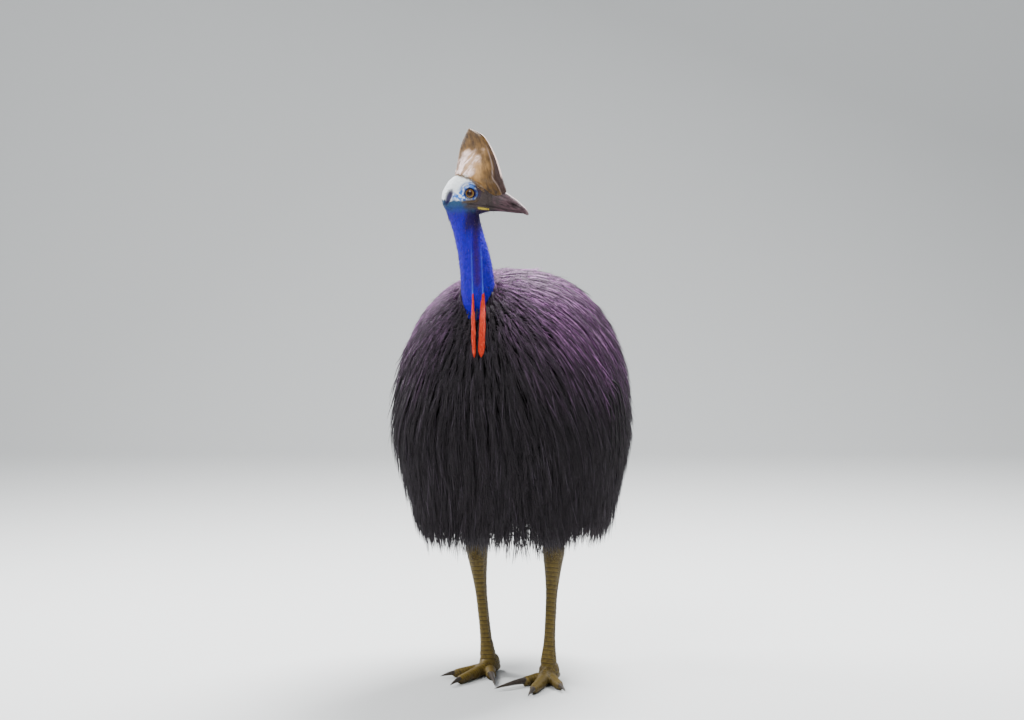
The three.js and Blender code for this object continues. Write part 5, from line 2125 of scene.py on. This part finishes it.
@dataclass
class Legs:
    """Both legs: their skin, masks, thigh plumes and claws."""

    workshop: Workshop
    legs: tuple[Leg, ...] = (
        Leg(Side.LEFT, (95.0, 47.0, 335.0), (90.0, 20.0, 34.0), 4.0),
        Leg(Side.RIGHT, (-113.0, 47.0, 328.0), (-87.0, 62.0, 34.0), 10.0),
    )
    band: float = 11.0
    toe_band: float = 8.5
    sole: float = 1.4
    thigh_plumes: int = 1700
    seed: int = 91

    def skins(self) -> list[Object]:
        """The skin of both thighs, shanks and feet, with their bands raised."""
        made = []
        for leg in self.legs:
            shells = [
                leg.shank(),
                leg.ball((26.0, 32.0, 30.0), (0.0, 8.0, 27.0)),
                leg.ball((21.0, 23.0, 14.0), (0.0, 30.0, 14.0)),
                *(leg.toe(toe) for toe in leg.TOES),
            ]
            foot = self.workshop.fused(f"leg_{leg.side.word}", shells, 1.9, 6)
            raised = self.workshop.raise_by(foot, self._relief(leg, self.workshop.points(foot)))
            height = raised[:, 2]
            pressed = np.maximum(height * 0.25, 0.0)
            raised[:, 2] = np.where(height < self.sole, pressed, height)
            self.workshop.move(foot, raised)
            self.workshop.mark(foot, Zone.SCALED)
            thigh = self.workshop.object_of(f"thigh_skin_{leg.side.word}", leg.thigh())
            self.workshop.mark(thigh, Zone.FEATHERED)
            made += [foot, thigh]
        return made

    def _bands(self, leg: Leg, points: Array) -> tuple[Array, Array]:
        """Where the broad front bands lie on one leg, and how high each point is in its band."""
        off = points - np.array(leg.hock)
        place = off @ leg.axis
        side, front = leg.across(leg.axis)
        around = np.arctan2(off @ side, off @ front)
        band = below(np.abs(around), 1.15, 0.25)
        band = band * (above(place, 22.0, 14.0) * below(place, 300.0, 12.0))
        height = (place / self.band + 0.08 * np.cos(around * 3.0)) % 1.0 * band
        for toe in leg.TOES:
            foot, ahead, across = leg.toe_frame(toe)
            along, aside = (points - foot) @ ahead, (points - foot) @ across
            tall = mix(*toe.tall, np.clip(along / toe.length, 0.0, 1.0))
            near = below(np.abs(aside), 1.05 * toe.wide[0], 3.0)
            top = above(points[:, 2], tall * 1.15, 0.35 * tall) * (points[:, 2] < 3.2 * tall)
            reach = above(along, 26.0, 8.0) * below(along, toe.length - 2.0, 4.0)
            share = near * top * reach
            height = np.where(share > band, (along / self.toe_band) % 1.0 * share, height)
            band = np.maximum(band, share)
        return band, height

    def _relief(self, leg: Leg, points: Array) -> Array:
        """How far bands, pads and small scales stand out on one leg."""
        band, height = self._bands(leg, points)
        edge = smooth(height / np.maximum(band, 1e-3) / 0.16) * band
        rough = 0.35 * Grain(5.0, seed=71).at(points)
        pebbles = 0.4 * Grain(3.6, seed=72, octaves=1).at(points)
        return band * (1.15 * edge + 0.35 * height - 0.6) + (1.0 - band) * (rough + pebbles)

    def masks(self, points: Array) -> dict[str, Array]:
        """The masks of the scaled skin."""
        band, height = np.zeros(len(points)), np.zeros(len(points))
        for leg in self.legs:
            here, up = self._bands(leg, points)
            here = here * (np.sign(points[:, 0]) == leg.side.value)
            height = np.where(here > band, up, height)
            band = np.maximum(band, here)
        share = height / np.maximum(band, 1e-3)
        groove = np.clip(band * (hump(share, 0.1) + hump(share - 1.0, 0.08)), 0.0, 1.0)
        return {"band": band, "crest": band * above(share, 0.45, 0.4), "groove": groove}

    def claws(self) -> None:
        """Makes the six claws."""
        dark, light = (0.010, 0.008, 0.007), (0.080, 0.062, 0.050)
        finish = HornFinish("claw_horn", dark, light).material()
        for leg in self.legs:
            for toe in leg.TOES:
                node = f"claw_{toe.name}_{leg.side.word}"
                self.workshop.piece(f"{node}_horn", leg.claw(toe), finish, Slot.CLAW, node)

    def plumes(self, finish: Material) -> None:
        """Short plumes that hang down the thighs to the hocks."""
        random = np.random.default_rng(self.seed)
        count, rings, lowest = self.thigh_plumes, SHORT_RINGS, Leg.THIGH.rows[0][0]
        for leg in self.legs:
            height = random.uniform(26.0, 165.0, count)
            turn = random.uniform(-math.pi, math.pi, count)
            length = random.uniform(26.0, 44.0, count) * mix(0.75, 1.3, above(height, 26.0, 60.0))
            drop = height[:, None] - length[:, None] * rings
            wide, deep, inward, back = leg.THIGH.at(np.maximum(drop, lowest))
            stand = mix(-2.0, 7.0, rings) * random.uniform(0.5, 1.0, count)[:, None]
            swing = turn[:, None] + random.normal(0.0, 0.12, count)[:, None] * rings
            path = np.array(leg.hock) + xyz(
                -leg.side.value * inward + (wide + stand) * np.sin(swing),
                back - (deep + stand) * np.cos(swing),
                drop,
            )
            out = xyz(np.sin(swing), -np.cos(swing), 0.0)
            width = taper(rings, (1.2, 1.8, 1.1, 0.3)) * random.uniform(0.8, 1.2, count)[:, None]
            strands = Strands()
            strands.add(
                path, out, width, 0.55, unwrap(turn, height / 170.0),
                tone=random.uniform(0.1, 0.75, count), reach=rings[None],
            )
            self.workshop.piece(f"thigh_plumes_{leg.side.word}", strands, finish, Slot.PLUMES)


@dataclass
class Wings:
    """The small wings: a stub under the plumes with bare quills over the flank."""

    workshop: Workshop
    trunk: Trunk
    root: tuple[float, float, float] = (210.0, -40.0, 790.0)
    quills: int = 5
    under: float = 1.0
    over: float = 42.0
    length: float = 215.0
    stub: tuple[float, float, float] = (12.0, 36.0, 20.0)
    stub_turn: float = -0.5

    def build(self) -> None:
        """Makes both wings."""
        finish = HornFinish(
            "quill_horn", dark=(0.003, 0.002, 0.003), light=(0.010, 0.008, 0.010), scale=300.0,
            gloss=(0.5, 0.7), depth=0.15,
        ).material()
        for side in Side:
            root = np.array(self.root) * (side.value, 1.0, 1.0)
            at = self.trunk.on(root[None], self.under)[0]
            shells = [self._stub(at)] + [self._quill(side, at, n) for n in range(self.quills)]
            self.workshop.piece(
                f"wing_quills_{side.word}", Shell.joined(shells), finish, Slot.QUILL,
                f"wing_{side.word}",
            )

    def _stub(self, at: Array) -> Shell:
        """The stub that carries the quills."""
        ball = globe(np.linspace(0.05, math.pi - 0.05, 14), 20) * np.array(self.stub)
        c, s = math.cos(self.stub_turn), math.sin(self.stub_turn)
        spin = np.array([[1.0, 0.0, 0.0], [0.0, c, s], [0.0, -s, c]])
        return Shell.lofted(ball @ spin + at)

    def _quill(self, side: Side, at: Array, number: int) -> Shell:
        """One long bare quill that curves down over the flank."""
        t = number / (self.quills - 1)
        start = at + np.array([0.0, mix(-4.0, 20.0, t), mix(-8.0, -4.0, t)])
        share = np.linspace(0.0, 1.0, 36)
        reach = self.length * mix(1.08, 0.78, abs(t - 0.4)) * share
        lean = math.radians(mix(8.0, 46.0, t))
        drop = reach * math.cos(lean) + 16.0 * share * share
        back = reach * math.sin(lean) * (1.0 - 0.25 * share)
        height = mix(self.under, self.over, smooth(share * 2.6))
        middle = self.trunk.on(start + xyz(0.0, back, -drop), height)
        ahead = unit(np.gradient(middle, axis=0))
        out = squared(np.array([side.value, 0.0, 0.0]), ahead)
        radius = mix(3.0, 1.1, share) * np.sqrt(np.clip((1.0 - share) / 0.06, 0.02, 1.0))
        return Shell.lofted(ovals(middle, out, radius, np.cross(ahead, out), radius, turns(12)))


# ---------------------------------------------------------------- the studio


@dataclass(frozen=True)
class Studio:
    """Floor, light and the camera at the photograph's viewing angle."""

    camera_at: tuple[float, float, float] = (2062.0, -5666.0, 1344.0)
    camera_turn: float = math.radians(20.0)
    camera_pitch: float = math.radians(-5.0)
    lens: float = 85.0
    sensor: float = 36.0
    sweep_behind: float = 4.5
    sweep_bend: float = 1.6
    sweep_top: float = 9.0
    floor_half: float = 14.0
    aim: tuple[float, float, float] = (0.0, 0.0, 0.8)
    air: Colour = (0.86, 0.89, 0.93)
    air_strength: float = 0.64

    def build(self, place: Placement) -> None:
        """Sets up everything round the bird."""
        self._camera(place)
        self._floor()
        self._lights()

    @staticmethod
    def _shown(name: str, data: bpy.types.ID) -> Object:
        """An object in the scene that carries some data."""
        made = bpy.data.objects.new(name, data)
        bpy.context.scene.collection.objects.link(made)
        return made

    def _camera(self, place: Placement) -> None:
        """The camera, level and pitched a little down."""
        data = bpy.data.cameras.new("camera")
        data.lens = self.lens
        data.sensor_width = self.sensor
        data.clip_end = 60.0
        camera = self._shown("camera", data)
        camera.location = place.metres(np.array(self.camera_at))
        camera.rotation_euler = (math.pi / 2.0 + self.camera_pitch, 0.0, self.camera_turn)
        bpy.context.scene.camera = camera

    def _floor(self) -> None:
        """A pale floor that sweeps up far behind the bird."""
        angle = np.linspace(0.0, math.pi / 2.0, 24)
        bend, behind = self.sweep_bend, self.sweep_behind
        run = np.concatenate([[-self.floor_half], behind + bend * np.sin(angle), [behind + bend]])
        rise = np.concatenate([[0.0], bend * (1.0 - np.cos(angle)), [self.sweep_top]])
        rows = xyz(np.array([-self.floor_half, self.floor_half]), run[:, None], rise[:, None])
        c, s = math.cos(self.camera_turn), math.sin(self.camera_turn)
        points = rows.reshape(-1, 3) @ np.array([[c, s, 0.0], [-s, c, 0.0], [0.0, 0.0, 1.0]])
        index = np.arange(len(points)).reshape(-1, 2)
        faces = np.concatenate([index[:-1], index[1:, ::-1]], axis=1)
        mesh = bpy.data.meshes.new("floor")
        mesh.from_pydata(points.tolist(), [], faces.tolist())
        shade_smooth(mesh)
        mesh.materials.append(FloorFinish("floor").material())
        self._shown("floor", mesh)

    def _lights(self) -> None:
        """A broad light overhead, one from the front, and a rim from behind."""
        for name, at, size, power in (
            ("sky", (0.6, 1.5, 3.8), 2.0, 770.0),
            ("front", (-0.7, -3.7, 4.2), 2.6, 310.0),
            ("rim", (-2.5, 0.2, 2.6), 1.4, 190.0),
        ):
            data = bpy.data.lights.new(name, "AREA")
            data.size = size
            data.energy = power
            lamp = self._shown(name, data)
            lamp.location = at
            aim = Vector(self.aim) - Vector(at)
            lamp.rotation_euler = aim.to_track_quat("-Z", "Y").to_euler()
        world = bpy.data.worlds.new("studio")
        world.use_nodes = True
        air = world.node_tree.nodes["Background"].inputs
        air["Color"].default_value = (*self.air, 1.0)
        air["Strength"].default_value = self.air_strength
        bpy.context.scene.world = world


def placement() -> Placement:
    """Finds the bird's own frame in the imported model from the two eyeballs."""
    left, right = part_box("eye_left"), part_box("eye_right")
    middle = (left[1][1] + right[0][1]) / 2.0 / MILLIMETRE
    return Placement((0.0, middle - HeadFrame().at[1], 0.0))


def main() -> None:
    """Builds the whole bird and the studio round it."""
    logging.basicConfig(level=logging.INFO, format="%(message)s")
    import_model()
    place = placement()
    LOG.info("frame shift: %.3f mm", place.shift[1])
    workshop = Workshop(place)
    Studio().build(place)
    trunk, neck, skull, legs = Trunk(), NeckShape(), Skull(), Legs(workshop)
    skin = Skin(workshop, trunk, neck, skull, legs).build()
    HeadPieces(workshop, skull).build()
    Wattles(workshop, neck).build()
    Wings(workshop, trunk).build()
    legs.claws()
    plumes = PlumeFinish("plumes").material()
    legs.plumes(plumes)
    Hairs(workshop, trunk, neck, skull).build(skin, plumes)
    Coat(workshop, trunk, plumes).build()
    LOG.info("%d pieces", len(workshop.made))


if __name__ == "__main__":
    main()
